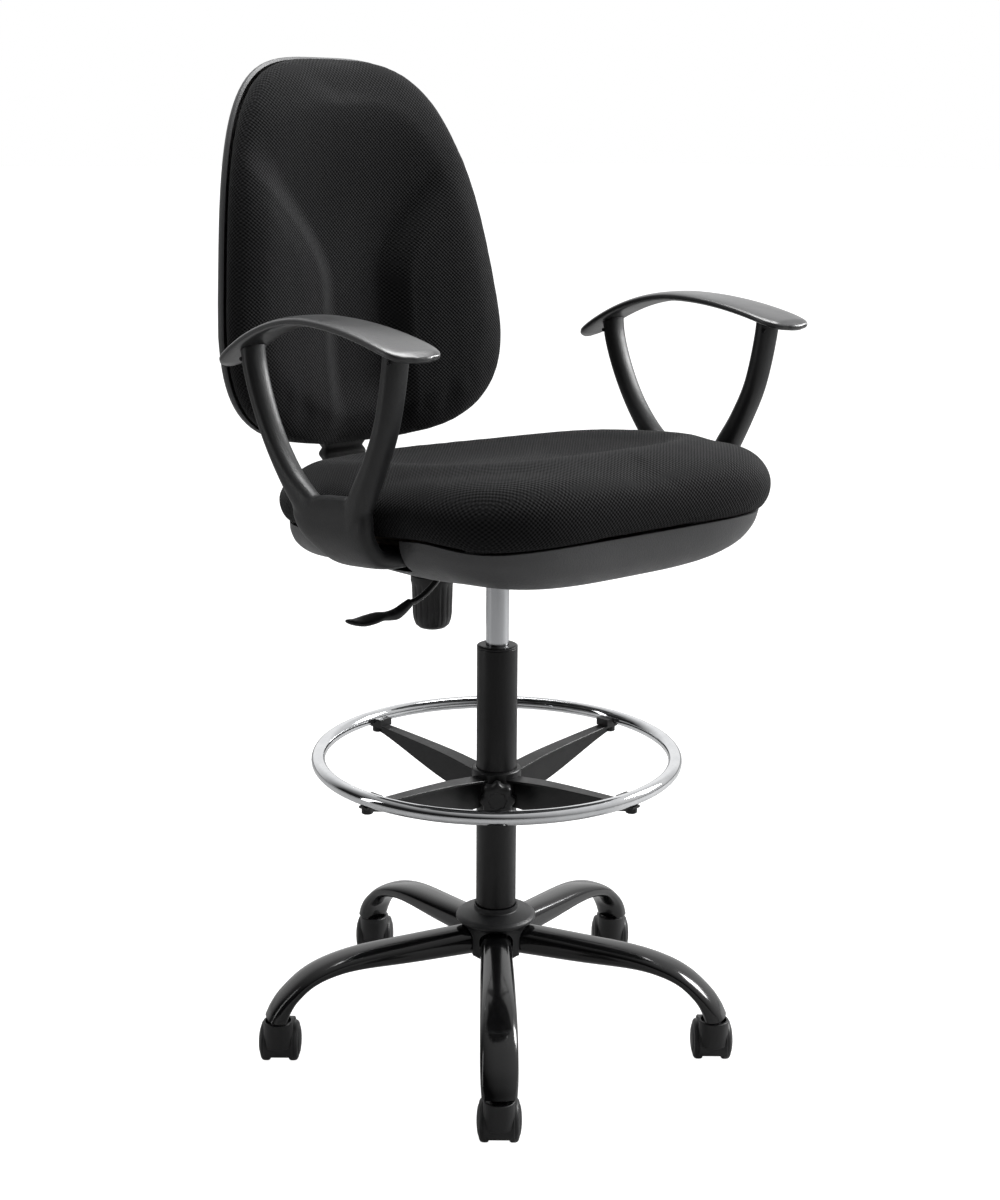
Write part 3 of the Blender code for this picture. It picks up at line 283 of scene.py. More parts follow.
def spline(points, steps):
    """Catmull-Rom points through a list of tuples of any dimension."""
    points = [Vector(p) for p in points]
    knots = [2 * points[0] - points[1], *points, 2 * points[-1] - points[-2]]
    result = []
    for a, b, c, d in zip(knots, knots[1:], knots[2:], knots[3:]):
        for k in range(steps):
            t = k / steps
            result.append(0.5 * (2 * b + (c - a) * t + (2 * a - 5 * b + 4 * c - d) * t * t
                                 + (3 * b - a - 3 * c + d) * t ** 3))
    result.append(points[-1])
    return result


def directions(points):
    """At each point of a line, the way from the point before it to the one after it."""
    last = len(points) - 1
    return [points[min(i + 1, last)] - points[max(i - 1, 0)] for i in range(last + 1)]


def add_loft(shape, rings, closed=True, loop=False):
    """Joins rings with the same number of points; a loop also joins the last to the first."""
    loops = [[shape.verts.new(point) for point in ring] for ring in rings]
    count = len(rings[0])
    pairs = list(zip(loops, loops[1:]))
    if loop:
        pairs.append((loops[-1], loops[0]))
    for low, high in pairs:
        for i in range(count):
            j = (i + 1) % count
            shape.faces.new((low[i], low[j], high[j], high[i]))
    if closed and not loop:
        shape.faces.new(list(reversed(loops[0])))
        shape.faces.new(loops[-1])


def lofted(rings, closed=True, loop=False):
    shape = bmesh.new()
    add_loft(shape, rings, closed, loop)
    return shape


def add_lathe(shape, profile, sides, matrix=None):
    """A profile of (radius, height) turned about Z, then placed by a matrix."""
    matrix = matrix or Matrix.Identity(4)
    loops = []
    for radius, height in profile:
        if radius < 1e-6:
            loops.append([shape.verts.new(matrix @ Vector((0, 0, height)))])
        else:
            loops.append([shape.verts.new(matrix @ Vector((
                radius * math.cos(math.tau * i / sides), radius * math.sin(math.tau * i / sides),
                height))) for i in range(sides)])
    for low, high in zip(loops, loops[1:]):
        for i in range(sides):
            j = (i + 1) % sides
            if len(low) == 1 and len(high) > 1:
                shape.faces.new((low[0], high[j], high[i]))
            elif len(high) == 1 and len(low) > 1:
                shape.faces.new((low[i], low[j], high[0]))
            elif len(low) > 1:
                shape.faces.new((low[i], low[j], high[j], high[i]))


def rounded(value, power):
    """A sine or cosine, bent so that a circle becomes a rounded rectangle."""
    return math.copysign(abs(value) ** (2 / power), value)


def halfway_angles(count):
    return [math.tau * (i + 0.5) / count for i in range(count)]


def section(centre, across, along, half_across, half_along, sides, power):
    return [centre + across * (half_across * rounded(math.cos(angle), power))
            + along * (half_along * rounded(math.sin(angle), power))
            for angle in halfway_angles(sides)]


def closed_ends(rings, reach=0.35):
    """Adds four shrinking rings at each end of a loft, so that its ends are rounded."""
    def cap(ring, inner):
        centre = sum(ring, Vector()) / len(ring)
        step = centre - sum(inner, Vector()) / len(inner)
        size = max((p - centre).length for p in ring)
        out = step.normalized() * size * reach if step.length > 1e-9 else Vector()
        return [[centre + (p - centre) * share + out * rise for p in ring]
                for share, rise in ((0.93, 0.28), (0.78, 0.55), (0.50, 0.86), (0.18, 1.0))]
    return list(reversed(cap(rings[0], rings[1]))) + rings + cap(rings[-1], rings[-2])


def round_profile(profile, radius=0.0012, steps=3):
    """Rounds the corners of a lathe profile."""
    points = [Vector(p) for p in profile]
    result = [points[0]]
    for before, here, after in zip(points, points[1:], points[2:]):
        a, b = before - here, after - here
        if min(a.length, b.length) < 1e-6 or a.angle(b) > math.radians(165) or here.x < 1e-6:
            result.append(here)
            continue
        cut = min(radius, a.length * 0.45, b.length * 0.45)
        start, stop = here + a.normalized() * cut, here + b.normalized() * cut
        for k in range(steps + 1):
            t = k / steps
            result.append(start * (1 - t) ** 2 + here * 2 * t * (1 - t) + stop * t * t)
    result.append(points[-1])
    return [(max(p.x, 0.0), p.y) for p in result]


def turned(profile, sides, radius=0.0012, steps=3):
    """A new bmesh: a lathe profile with rounded corners, turned about Z."""
    shape = bmesh.new()
    add_lathe(shape, round_profile(profile, radius, steps), sides)
    return shape


def linked(name, data):
    item = bpy.data.objects.new(name, data)
    bpy.context.scene.collection.objects.link(item)
    return item


def meshed(name, shape):
    """Turns a bmesh into a mesh object in the scene."""
    mesh = bpy.data.meshes.new(name)
    shape.to_mesh(mesh)
    shape.free()
    return linked(name, mesh)


def helper(name, shape):
    """A mesh object whose faces all look outwards, to be worked on further."""
    bmesh.ops.recalc_face_normals(shape, faces=shape.faces[:])
    return meshed(name, shape)


def piece(name, shape, finish, body, nodes=(), angle=38.0):
    return dress(helper(name, shape), finish, body, nodes, angle)


def dress(item, finish, body, nodes=(), angle=38.0, place=None):
    """Gives an object its finish, place, body and the CAD nodes that it replaces.
    Edges sharper than the angle, in degrees, are shaded sharp."""
    mesh = item.data
    mesh.materials.clear()
    mesh.materials.append(FINISH[finish] if isinstance(finish, str) else finish)
    if place is None:
        mesh.transform(Matrix.Translation(ORIGIN))
    else:
        item.matrix_world = place
    mesh.shade_smooth()
    mesh.set_sharp_from_angle(angle=math.radians(angle))
    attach(item, body)
    if nodes:
        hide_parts(*nodes)
    return item


def apply_all(item):
    """Puts the result of an object's modifiers into its mesh."""
    graph = bpy.context.evaluated_depsgraph_get()
    graph.update()
    mesh = bpy.data.meshes.new_from_object(item.evaluated_get(graph))
    old = item.data
    item.modifiers.clear()
    item.data = mesh
    bpy.data.meshes.remove(old)


def remesh(item, voxel):
    step = item.modifiers.new("remesh", "REMESH")
    step.mode = "VOXEL"
    step.voxel_size = voxel
    apply_all(item)


def carve(item, tools, operation="DIFFERENCE"):
    """Cuts tools out of an object, or joins them to it, and removes them."""
    for tool in tools:
        step = item.modifiers.new("cut", "BOOLEAN")
        step.operation = operation
        step.object = tool
        step.solver = "EXACT"
    apply_all(item)
    for tool in tools:
        bpy.data.objects.remove(tool, do_unlink=True)


def rod_between(shape, low, high, radius, sides=32):
    low, high = Vector(low), Vector(high)
    length = (high - low).length
    turn = (high - low).to_track_quat("Z", "Y").to_matrix().to_4x4()
    edge = min(0.0006, radius * 0.3)
    line = [(0, 0), (radius - edge, 0), (radius, edge), (radius, length - edge),
            (radius - edge, length), (0, length)]
    add_lathe(shape, line, sides, Matrix.Translation(low) @ turn)


def rod_tool(name, low, high, radius, sides):
    shape = bmesh.new()
    rod_between(shape, low, high, radius, sides)
    return helper(name, shape)


def add_box(shape, low, high):
    low, high = Vector(low), Vector(high)
    made = bmesh.ops.create_cube(shape, size=1.0)
    size = high - low
    bmesh.ops.transform(shape, matrix=Matrix.Translation((low + high) / 2)
                        @ Matrix.Diagonal((*size, 1.0)), verts=made["verts"])


def box_tool(low, high):
    shape = bmesh.new()
    add_box(shape, low, high)
    return helper("box", shape)


def radial(angle):
    """The way out from the column, for an angle that is counted from the sitter's front."""
    return Vector((math.sin(angle), -math.cos(angle), 0.0))


def tangent(angle):
    return Vector((math.cos(angle), math.sin(angle), 0.0))


# ---------------------------------------------------------------- base
LEG_ANGLES = [math.radians(-38.50) + k * math.tau / 5 for k in range(5)]
CASTER_REACH = 0.2820
# out and up of a leg's upper line, the same of its lower line, and its width
LEG_STATIONS = [
    (0.026, 0.1680, 0.026, 0.1315, 0.038), (0.110, 0.1622, 0.110, 0.1307, 0.041),
    (0.178, 0.1562, 0.178, 0.1315, 0.0425), (0.222, 0.1460, 0.212, 0.1280, 0.0435),
    (0.251, 0.1320, 0.239, 0.1188, 0.044), (0.276, 0.1110, 0.2585, 0.1025, 0.044),
    (0.289, 0.0950, 0.2675, 0.0882, 0.043), (0.2965, 0.0810, 0.2715, 0.0765, 0.041)]


def make_base():
    shape = turned([(0.0152, 0.126), (0.031, 0.126), (0.031, 0.174), (0.016, 0.174),
                    (0.0152, 0.126)], 64)
    for angle in LEG_ANGLES:
        outward, side = radial(angle), tangent(angle)
        rings = []
        for a, b, c, d, width in spline(LEG_STATIONS, 7):
            top, bottom = outward * a + UP * b, outward * c + UP * d
            rise = top - bottom
            rings.append(section((top + bottom) / 2, side, rise.normalized(), width / 2,
                                 rise.length / 2, 44, 2.5))
        add_loft(shape, closed_ends(rings, 0.10))
        socket = outward * CASTER_REACH
        rod_between(shape, socket + UP * 0.0745, socket + UP * 0.0850, 0.0100)
    piece("base_tubes", shape, "gloss_black_steel", "base", ["base_frame"], 50)

    profile = [(0.0275, 0.1930), (0.0275, 0.1865), (0.0460, 0.1815), (0.0500, 0.1785),
               (0.0505, 0.1750), (0.0450, 0.1715), (0.0430, 0.1690), (0.0430, 0.1345),
               (0.0405, 0.1345), (0.0405, 0.1745), (0.0256, 0.1790), (0.0256, 0.1930),
               (0.0275, 0.1930)]
    shape = turned(profile, 120, 0.0016, 4)
    bmesh.ops.remove_doubles(shape, verts=shape.verts[:], dist=1e-6)
    cover = helper("hub_cover_smooth", shape)
    arches = []
    for angle in LEG_ANGLES:
        outward, side = radial(angle), tangent(angle)
        rings = []
        for reach in (0.033, 0.060):
            middle = outward * reach
            ring = [middle + side * (0.0210 * math.cos(a)) + UP * (0.1560 + 0.0145 * math.sin(a))
                    for a in [math.pi * i / 24 for i in range(25)]]
            ring += [middle - side * 0.0210 + UP * 0.120, middle + side * 0.0210 + UP * 0.120]
            rings.append(ring)
        arches.append(helper("arch", lofted(rings)))
    carve(cover, arches)
    dress(cover, "textured_plastic", "base", ["hub_cover"], 32)


# ---------------------------------------------------------------- casters
HEADING = math.radians(-39.68)
TRAIL = Vector((0.0, 0.017, 0.025))
FLOOR = 0.0155


def make_hood():
    """The plastic body of a caster, standing on the floor with its stem on the Z axis."""
    hood = rod_tool("hood", (0, 0, 0.0275), (0, 0, 0.0600), 0.0182, 56)
    guard = rod_tool("guard", TRAIL - ACROSS * 0.0175, TRAIL + ACROSS * 0.0175, 0.0290, 72)
    carve(guard, [box_tool((-0.030, -0.010, -0.020), (0.030, 0.060, 0.029))])
    boss = rod_tool("boss", TRAIL - ACROSS * 0.0112, TRAIL + ACROSS * 0.0112, 0.0120, 40)
    carve(hood, [guard, boss], "UNION")
    tools = [rod_tool("space", TRAIL + ACROSS * sign * 0.0112, TRAIL + ACROSS * sign * 0.030,
                      0.0262, 72) for sign in (1, -1)]
    tools.append(rod_tool("recess", (0, 0, 0.0540), (0, 0, 0.0800), 0.0158, 48))
    tools.append(rod_tool("socket", (0, 0, 0.0400), (0, 0, 0.0700), 0.0060, 24))
    carve(hood, tools)
    edge = hood.modifiers.new("edge", "BEVEL")
    edge.width = 0.0007
    edge.segments = 2
    edge.limit_method = "ANGLE"
    edge.angle_limit = math.radians(40)
    edge.use_clamp_overlap = True
    apply_all(hood)
    return hood


def make_casters():
    hood = make_hood()
    wheel = bmesh.new()
    profile = [(0.0, 0.0262), (0.0040, 0.0261), (0.0090, 0.0257), (0.0140, 0.0250),
               (0.0172, 0.0241), (0.0180, 0.0233), (0.0188, 0.0235), (0.0220, 0.0226),
               (0.0240, 0.0212), (0.0248, 0.0192), (0.0250, 0.0165), (0.0249, 0.0140),
               (0.0240, 0.0122), (0.0225, 0.0118), (0.0195, 0.0118), (0.0185, 0.0130),
               (0.0060, 0.0134), (0.0048, 0.0118), (0.0032, 0.0118)]
    add_lathe(wheel, profile, 80)
    wheel = helper("wheel", wheel)

    for k, angle in enumerate(LEG_ANGLES, 1):
        foot = ORIGIN + radial(angle) * CASTER_REACH + UP * FLOOR
        pivot = Matrix.Translation(foot) @ Matrix.Rotation(HEADING, 4, "Z")
        item = linked(f"caster_{k}_hood_smooth", hood.data.copy())
        dress(item, "nylon", f"caster_{k}", [f"caster_{k}_hood"], 35, pivot)
        for label, turn in (("left", math.pi / 2), ("right", -math.pi / 2)):
            item = linked(f"caster_{k}_tyre_{label}", wheel.data.copy())
            place = pivot @ Matrix.Translation(TRAIL) @ Matrix.Rotation(turn, 4, "Y")
            dress(item, "nylon", f"caster_{k}_{label}", [f"caster_{k}_wheel_{label}"], 40, place)
    for item in (hood, wheel):
        bpy.data.objects.remove(item, do_unlink=True)


# ---------------------------------------------------------------- column and gas lift
def make_column():
    shape = turned([
        (0.0222, 0.5275), (0.0250, 0.5275), (0.0250, 0.1940), (0.0215, 0.1880), (0.0155, 0.1800),
        (0.0148, 0.1270), (0.0110, 0.1270), (0.0110, 0.1900), (0.0056, 0.1900), (0.0056, 0.2000),
        (0.0222, 0.2000), (0.0222, 0.5275)], 72, 0.0008)
    piece("column_sleeve", shape, "powder_coat", "base", ["column_tube"])
    shape = turned([
        (0.0144, 0.5310), (0.0225, 0.5310), (0.0250, 0.5298), (0.0252, 0.5279), (0.0218, 0.5279),
        (0.0218, 0.4550), (0.0144, 0.4550), (0.0144, 0.5310)], 72, 0.0006)
    piece("column_collar", shape, "nylon", "base", ["column_bush"])
    shape = turned([
        (0.0036, 0.6640), (0.0128, 0.6640), (0.0140, 0.6320), (0.0140, 0.3150), (0.0056, 0.3150),
        (0.0056, 0.3210), (0.0118, 0.3210), (0.0118, 0.6300), (0.0036, 0.6400), (0.0036, 0.6640)],
        80, 0.0008)
    piece("gas_piston", shape, "satin_chrome", "seat", ["gas_cylinder"])


# ---------------------------------------------------------------- foot ring
RING_HEIGHT = 0.389
RING_RADIUS = 0.220
RING_WIRE = 0.0085
KNOB_HEIGHT = 0.347
SPIDER_ANGLE = math.radians(-38.2)


def make_ring():
    rings = []
    for i in range(200):
        outward = radial(math.tau * i / 200)
        rings.append([outward * (RING_RADIUS + RING_WIRE * math.cos(a))
                      + UP * (RING_HEIGHT + RING_WIRE * math.sin(a))
                      for a in [math.tau * j / 28 for j in range(28)]])
    piece("foot_ring_tube", lofted(rings, loop=True), "chrome", "ring", ["foot_ring"], 80)

    shape = turned([(0.0256, 0.3740), (0.0285, 0.3740), (0.0305, 0.3720), (0.0305, 0.3260),
                    (0.0256, 0.3260), (0.0256, 0.3740)], 72, 0.0010)
    plate, web = 0.0030, 0.0016
    for k in range(4):
        angle = SPIDER_ANGLE + math.pi / 4 + k * math.pi / 2
        outward, side = radial(angle), tangent(angle)
        rings = []
        stations = [(0.0275, 0.3650, 0.0120, 0.0370), (0.0900, 0.3730, 0.0100, 0.0400),
                    (0.1900, 0.3798, 0.0075, 0.0150), (0.2240, 0.3798, 0.0065, 0.0065)]
        for reach, top, flange, depth in spline(stations, 6):
            depth = max(depth, 0.0040)
            outline = [(-flange, -0.0006), (-flange, -plate), (-web, -plate), (-web, -depth),
                       (web, -depth), (web, -plate), (flange, -plate), (flange, -0.0006),
                       (flange - 0.0006, 0), (-flange + 0.0006, 0)]
            rings.append([outward * reach + side * u + UP * (top + v) for u, v in outline])
        add_loft(shape, rings)
        tip = outward * 0.2165 + UP * 0.3778
        rod_between(shape, tip - UP * 0.0075, tip, 0.0068)
    forward = radial(SPIDER_ANGLE)
    rod_between(shape, forward * 0.0280 + UP * KNOB_HEIGHT,
                forward * 0.0360 + UP * KNOB_HEIGHT, 0.0100)
    piece("ring_bracket", shape, "powder_coat", "ring", ["ring_spider"], 30)

    rings = []
    for reach, size in ((0.0366, 0.40), (0.0368, 0.88), (0.0374, 0.96), (0.0390, 1.0),
                        (0.0490, 1.0), (0.0512, 0.97), (0.0525, 0.90), (0.0531, 0.75),
                        (0.0531, 0.55), (0.0520, 0.50), (0.0518, 0.20)):
        ring = []
        for i in range(128):
            angle = math.tau * i / 128
            radius = size * (0.0205 + 0.0015 * math.cos(8 * angle))
            ring.append(Vector((radius * math.cos(angle), -reach, radius * math.sin(angle))))
        rings.append(ring)
    shape = lofted(rings)
    rod_between(shape, (0, -0.0262, 0), (0, -0.0420, 0), 0.0040)
    bmesh.ops.transform(shape, matrix=Matrix.Translation((0, 0, KNOB_HEIGHT))
                        @ Matrix.Rotation(SPIDER_ANGLE, 4, "Z"), verts=shape.verts[:])
    piece("ring_clamp_knob", shape, "nylon", "ring_clamp", ["ring_knob"], 35)


# ---------------------------------------------------------------- seat
SEAM_HEIGHT = 0.701
SEAT_SLOPE = 0.10
SEAT_HALF_WIDTH = 0.245
SEAT_FRONT = 0.262
SEAT_REAR = 0.250
FRONT_DROP = 0.014
HOLLOW = 0.0085
CREST = 0.0045
PINNED = 0.003


def seat_level(y):
    return SEAM_HEIGHT - SEAT_SLOPE * y


def front_share(y):
    return smoothstep(-y, 0.15, 0.25)


def seat_outline(scale, front_power, count=220):
    points = []
    for angle in halfway_angles(count):
        cosine, sine = math.cos(angle), math.sin(angle)
        power, depth = (front_power, SEAT_FRONT) if sine < 0 else (2.3, SEAT_REAR)
        x = SEAT_HALF_WIDTH * rounded(cosine, power)
        y = depth * rounded(sine, power)
        x *= 1 - 0.05 * max(y, 0.0) / SEAT_REAR
        points.append((x * scale, y * scale))
    return points


def seat_ring(scale, height, dip, front_power):
    """A ring round the seat, at a height from its seam. The dip is how much of the drop at
    the front edge it takes."""
    ring = []
    for x, y in seat_outline(scale, front_power):
        fall = max(height, 0.0) * 3.4 * max(y, 0.0) ** 2
        deepen = 0.80 * max(-y, 0.0) / SEAT_FRONT + 0.45 * max(y, 0.0) / SEAT_REAR
        fall -= min(height, 0.0) * deepen
        drop = dip * FRONT_DROP * front_share(y)
        ring.append(Vector((x, y, seat_level(y) + height - fall - drop)))
    return ring


def even(rings, count):
    """Respaces the points of each ring evenly, so that corners get their share."""
    result = []
    for ring in rings:
        lengths = [0.0]
        closed = ring + [ring[0]]
        for a, b in zip(closed, closed[1:]):
            lengths.append(lengths[-1] + (b - a).length)
        points, k = [], 0
        for i in range(count):
            want = lengths[-1] * i / count
            while lengths[k + 1] < want:
                k += 1
            t = (want - lengths[k]) / max(lengths[k + 1] - lengths[k], 1e-9)
            points.append(closed[k].lerp(closed[k + 1], t))
        result.append(points)
    return result


CLOTH_FRAMES = 16
CLOTH = {"quality": 5, "mass": 0.3, "tension_stiffness": 25, "compression_stiffness": 25,
         "shear_stiffness": 12, "bending_stiffness": 3, "use_pressure": True,
         "uniform_pressure_force": 2.2, "vertex_group_mass": "rest"}


def inflate(item, voxel, cap, pin):
    """Blows a cushion up a little with cloth, keeping the pinned face where it rests and
    moving no point further than the cap."""
    remesh(item, voxel)
    start = [v.co.copy() for v in item.data.vertices]
    group = item.vertex_groups.new(name="rest")
    group.add([v.index for v in item.data.vertices if pin(v.co)], 1.0, "REPLACE")
    cloth = item.modifiers.new("cloth", "CLOTH")
    for key, value in CLOTH.items():
        setattr(cloth.settings, key, value)
    cloth.settings.effector_weights.gravity = 0
    cloth.collision_settings.use_collision = False
    cloth.collision_settings.use_self_collision = False
    scene = bpy.context.scene
    for number in range(1, CLOTH_FRAMES + 1):
        scene.frame_set(number)
    apply_all(item)
    for vertex, old in zip(item.data.vertices, start):
        move = vertex.co - old
        if move.length > cap:
            vertex.co = old + move * (cap / move.length)
    scene.frame_set(1)
    item.vertex_groups.clear()


def relax(item, times):
    shape = bmesh.new()
    shape.from_mesh(item.data)
    for _ in range(times):
        bmesh.ops.smooth_vert(shape, verts=shape.verts[:], factor=0.5, use_axis_x=True,
                              use_axis_y=True, use_axis_z=True)
    shape.to_mesh(item.data)
    shape.free()


def soften(item):
    step = item.modifiers.new("smooth", "SUBSURF")
    step.levels = step.render_levels = 1
    apply_all(item)


def make_seat_cushion():
    """Rings from the underside out to the seam, up and in again: see seat_ring."""
    table = [(0.30, 0.0010, 0.0, 5.0), (0.60, 0.0010, 0.0, 5.0), (0.900, 0.0010, 0.0, 5.0),
             (0.975, 0.0008, 1.0, 5.0), (1.008, 0.004, 1.0, 5.0), (1.030, 0.014, 0.9, 4.9),
             (1.040, 0.028, 0.7, 4.8), (1.026, 0.0425, 0.4, 4.5), (0.975, 0.0565, 0.1, 4.2),
             (0.886, 0.0660, 0.0, 3.8), (0.770, 0.0675, 0.0, 3.4), (0.560, 0.0580, 0.0, 3.0),
             (0.300, 0.0515, 0.0, 3.0), (0.100, 0.0500, 0.0, 3.0)]
    rings = [seat_ring(*row) for row in spline(table, 4)]
    item = helper("seat_pad", lofted(even(rings, 180)))
    inflate(item, voxel=0.0058, cap=0.0042, pin=lambda p: (
        p.z < seat_level(p.y) + PINNED - FRONT_DROP * front_share(p.y)))
    relax(item, 3)
    soften(item)
    for vertex in item.data.vertices:
        p = vertex.co
        above = p.z - seat_level(p.y)
        if above > 0.030:
            depth = SEAT_FRONT if p.y < 0 else SEAT_REAR
            reach = (abs(p.x / SEAT_HALF_WIDTH) ** 2.6 + abs(p.y / depth) ** 2.6) ** (1 / 2.6)
            hollow = HOLLOW * (1.0 - smoothstep(reach, 0.42, 0.74))
            crest = CREST * smoothstep(reach, 0.66, 0.80) * (1.0 - smoothstep(reach, 0.82, 0.96))
            p.z += (crest - hollow) * smoothstep(above, 0.030, 0.045)
    dress(item, "mesh_fabric", "seat", ["seat_cushion"], 80)


def dish(name, ring, table, centre):
    """A tray of even thickness, from its rim to a point at its middle."""
    rings = even([ring(*row) for row in spline(table, 5)], 150)
    shape = bmesh.new()
    loops = [[shape.verts.new(point) for point in ring] for ring in rings]
    middle = shape.verts.new(centre)
    count = len(rings[0])
    for outer, inner in zip(loops, loops[1:]):
        for i in range(count):
            j = (i + 1) % count
            shape.faces.new((outer[i], outer[j], inner[j], inner[i]))
    for i in range(count):
        shape.faces.new((loops[-1][i], loops[-1][(i + 1) % count], middle))
    inside = sum((vert.co for vert in loops[0]), Vector()) / count
    shape.faces.ensure_lookup_table()
    first = shape.faces[len(shape.faces) // 2]
    first.normal_update()
    if first.normal.dot(first.calc_center_median() - inside) < 0:
        bmesh.ops.reverse_faces(shape, faces=shape.faces[:])
    item = meshed(name, shape)
    wall = item.modifiers.new("wall", "SOLIDIFY")
    wall.thickness = 0.003
    wall.offset = -1.0
    apply_all(item)
    return item


def slab_tool(x_low, x_high, y_low, y_high, low, high):
    rings = [[Vector((x, y, seat_level(y) + height)) for x, y in
              ((x_low, y_low), (x_high, y_low), (x_high, y_high), (x_low, y_high))]
             for height in (low, high)]
    return helper("slab", lofted(rings))


BOARD_LOW = -0.0124
FOOT_HIGH = BOARD_LOW - 0.0004
FOOT_LOW = FOOT_HIGH - 0.0220


def make_seat_shell():
    tray = [(0.990, -0.0006, 1.0, 5.0), (0.985, -0.0100, 1.0, 4.6), (0.955, -0.0220, 0.9, 4.0),
            (0.880, -0.0330, 0.7, 3.4), (0.740, -0.0410, 0.4, 3.0), (0.500, -0.0470, 0.0, 2.6),
            (0.260, -0.0620, 0.0, 2.2)]
    item = dish("seat_pan", seat_ring, tray, Vector((0, 0, SEAM_HEIGHT - 0.0740)))
    tools = []
    for side in (1, -1):
        low, high = sorted((side * 0.130, side * 0.300))
        tools.append(slab_tool(low, high, -0.126, -0.030, FOOT_LOW - 0.0025, 0.020))
    tools.append(box_tool((-0.070, -0.085, 0.560), (0.070, 0.158, 0.650)))
    tools.append(box_tool((-0.036, 0.150, 0.560), (0.036, 0.280, 0.648)))
    tools.append(box_tool((-0.135, 0.000, 0.560), (-0.060, 0.042, 0.645)))
    carve(item, tools)
    dress(item, "shell_plastic", "seat", ["seat_shell"], 35)


# ---------------------------------------------------------------- armrests
# back and up of a leg's middle, half its depth and width
REAR_LEG = [(0.1010, 0.9120, 0.0115, 0.0145), (0.0960, 0.8800, 0.0110, 0.0145),
            (0.0800, 0.8400, 0.0110, 0.0140), (0.0560, 0.8000, 0.0115, 0.0135),
            (0.0260, 0.7650, 0.0140, 0.0130), (-0.0020, 0.7420, 0.0180, 0.0125),
            (-0.0300, 0.7250, 0.0200, 0.0118)]
FRONT_LEG = [(-0.1710, 0.9480, 0.0120, 0.0145), (-0.1680, 0.9050, 0.0118, 0.0145),
             (-0.1540, 0.8450, 0.0120, 0.0142), (-0.1330, 0.8000, 0.0130, 0.0142),
             (-0.1120, 0.7650, 0.0155, 0.0140), (-0.1000, 0.7430, 0.0165, 0.0130),
             (-0.0950, 0.7250, 0.0170, 0.0118)]
# the lower plate: sideways, back and up of its middle, half its depth and thickness
PLATE = [(0.0, -0.0580, 0.7560, 0.0250, 0.0085), (0.0, -0.0520, 0.7450, 0.0620, 0.0115),
         (0.0, -0.0525, 0.7320, 0.0685, 0.0120), (-0.0010, -0.0590, 0.7150, 0.0620, 0.0120),
         (-0.0070, -0.0700, 0.7000, 0.0520, 0.0116), (-0.0170, -0.0760, 0.6890, 0.0470, 0.0112),
         (-0.0330, -0.0780, 0.6845, 0.0450, 0.0107), (-0.0600, -0.0780, 0.6838, 0.0450, 0.0107),
         (-0.1300, -0.0780, 0.6838, 0.0450, 0.0107)]
# back, and half the pad's width
PAD = [(0.1530, 0.0090), (0.1480, 0.0165), (0.1330, 0.0220), (0.0850, 0.0240), (0.0300, 0.0245),
       (-0.0300, 0.0262), (-0.0900, 0.0295), (-0.1450, 0.0325), (-0.1850, 0.0335),
       (-0.2030, 0.0305), (-0.2125, 0.0240), (-0.2165, 0.0120)]
ARM_X = 0.276
PAD_HALF = 0.0060
PAD_CREST = -0.040
PAD_GROOVE = 0.16


def pad_curve(y):
    return 1.70 if y > PAD_CREST else 0.80


def pad_top(y):
    return 0.9475 - pad_curve(y) * (y - PAD_CREST) ** 2


def pad_normal(y):
    return Vector((0, 2 * pad_curve(y) * (y - PAD_CREST), 1)).normalized()


def make_arm(side, label):
    middle = side * ARM_X
    shape = bmesh.new()
    for table in (REAR_LEG, FRONT_LEG):
        stations = spline(table, 6)
        rings = []
        for (y, z, half_depth, half_width), ahead in zip(stations, directions(stations)):
            down = Vector((0, ahead[0], ahead[1])).normalized()
            rings.append(section(Vector((middle, y, z)), ACROSS, ACROSS.cross(down), half_width,
                                 half_depth, 36, 2.4))
        add_loft(shape, rings)
    stations = spline(PLATE, 6)
    rings = []
    for (x, y, z, half_depth, half_thickness), ahead in zip(stations, directions(stations)):
        along = Vector((side * ahead[0], 0, ahead[2])).normalized()
        ring = section(Vector((middle + side * x, y, z)), BACKWARDS, along.cross(BACKWARDS),
                       half_depth, half_thickness, 56, 4.0)
        rings.append([p - UP * (SEAT_SLOPE * (p.y + 0.0600)) for p in ring])
    add_loft(shape, rings)
    item = helper(f"arm_loop_{label}", shape)
    remesh(item, 0.0021)
    relax(item, 7)
    for vertex in item.data.vertices:
        p = vertex.co
        if p.z > 0.86:
            limit = pad_top(p.y) - (2 * PAD_HALF + 0.0002) / pad_normal(p.y).z
            p.z = min(p.z, limit)
    dress(item, "textured_plastic", "seat", [f"arm_frame_{label}"], 60)

    rings = []
    angles = halfway_angles(56)
    grooves = (-PAD_GROOVE, math.pi + PAD_GROOVE)
    for groove in grooves:
        angles += [groove - 0.030, groove - 0.012, groove + 0.012, groove + 0.030]
    angles = sorted(a % math.tau for a in angles)
    grooves = [groove % math.tau for groove in grooves]
    for y, half_width in spline(PAD, 8):
        normal = pad_normal(y)
        centre = Vector((middle, y, pad_top(y))) - normal * PAD_HALF
        end = smoothstep(min(y + 0.2165, 0.1530 - y), -0.001, 0.012)
        half_height = PAD_HALF * (0.62 + 0.38 * end)
        ring = []
        for angle in angles:
            u = half_width * rounded(math.cos(angle), 2.9)
            v = half_height * rounded(math.sin(angle), 2.9)
            if min(abs(angle - g) for g in grooves) < 0.02:
                u -= math.copysign(0.0005, u)
            ring.append(centre + ACROSS * u + normal * v)
        rings.append(ring)
    piece(f"arm_top_{label}", lofted(closed_ends(rings, 0.20)), "pad_plastic", "seat",
          [f"arm_pad_{label}"], 50)


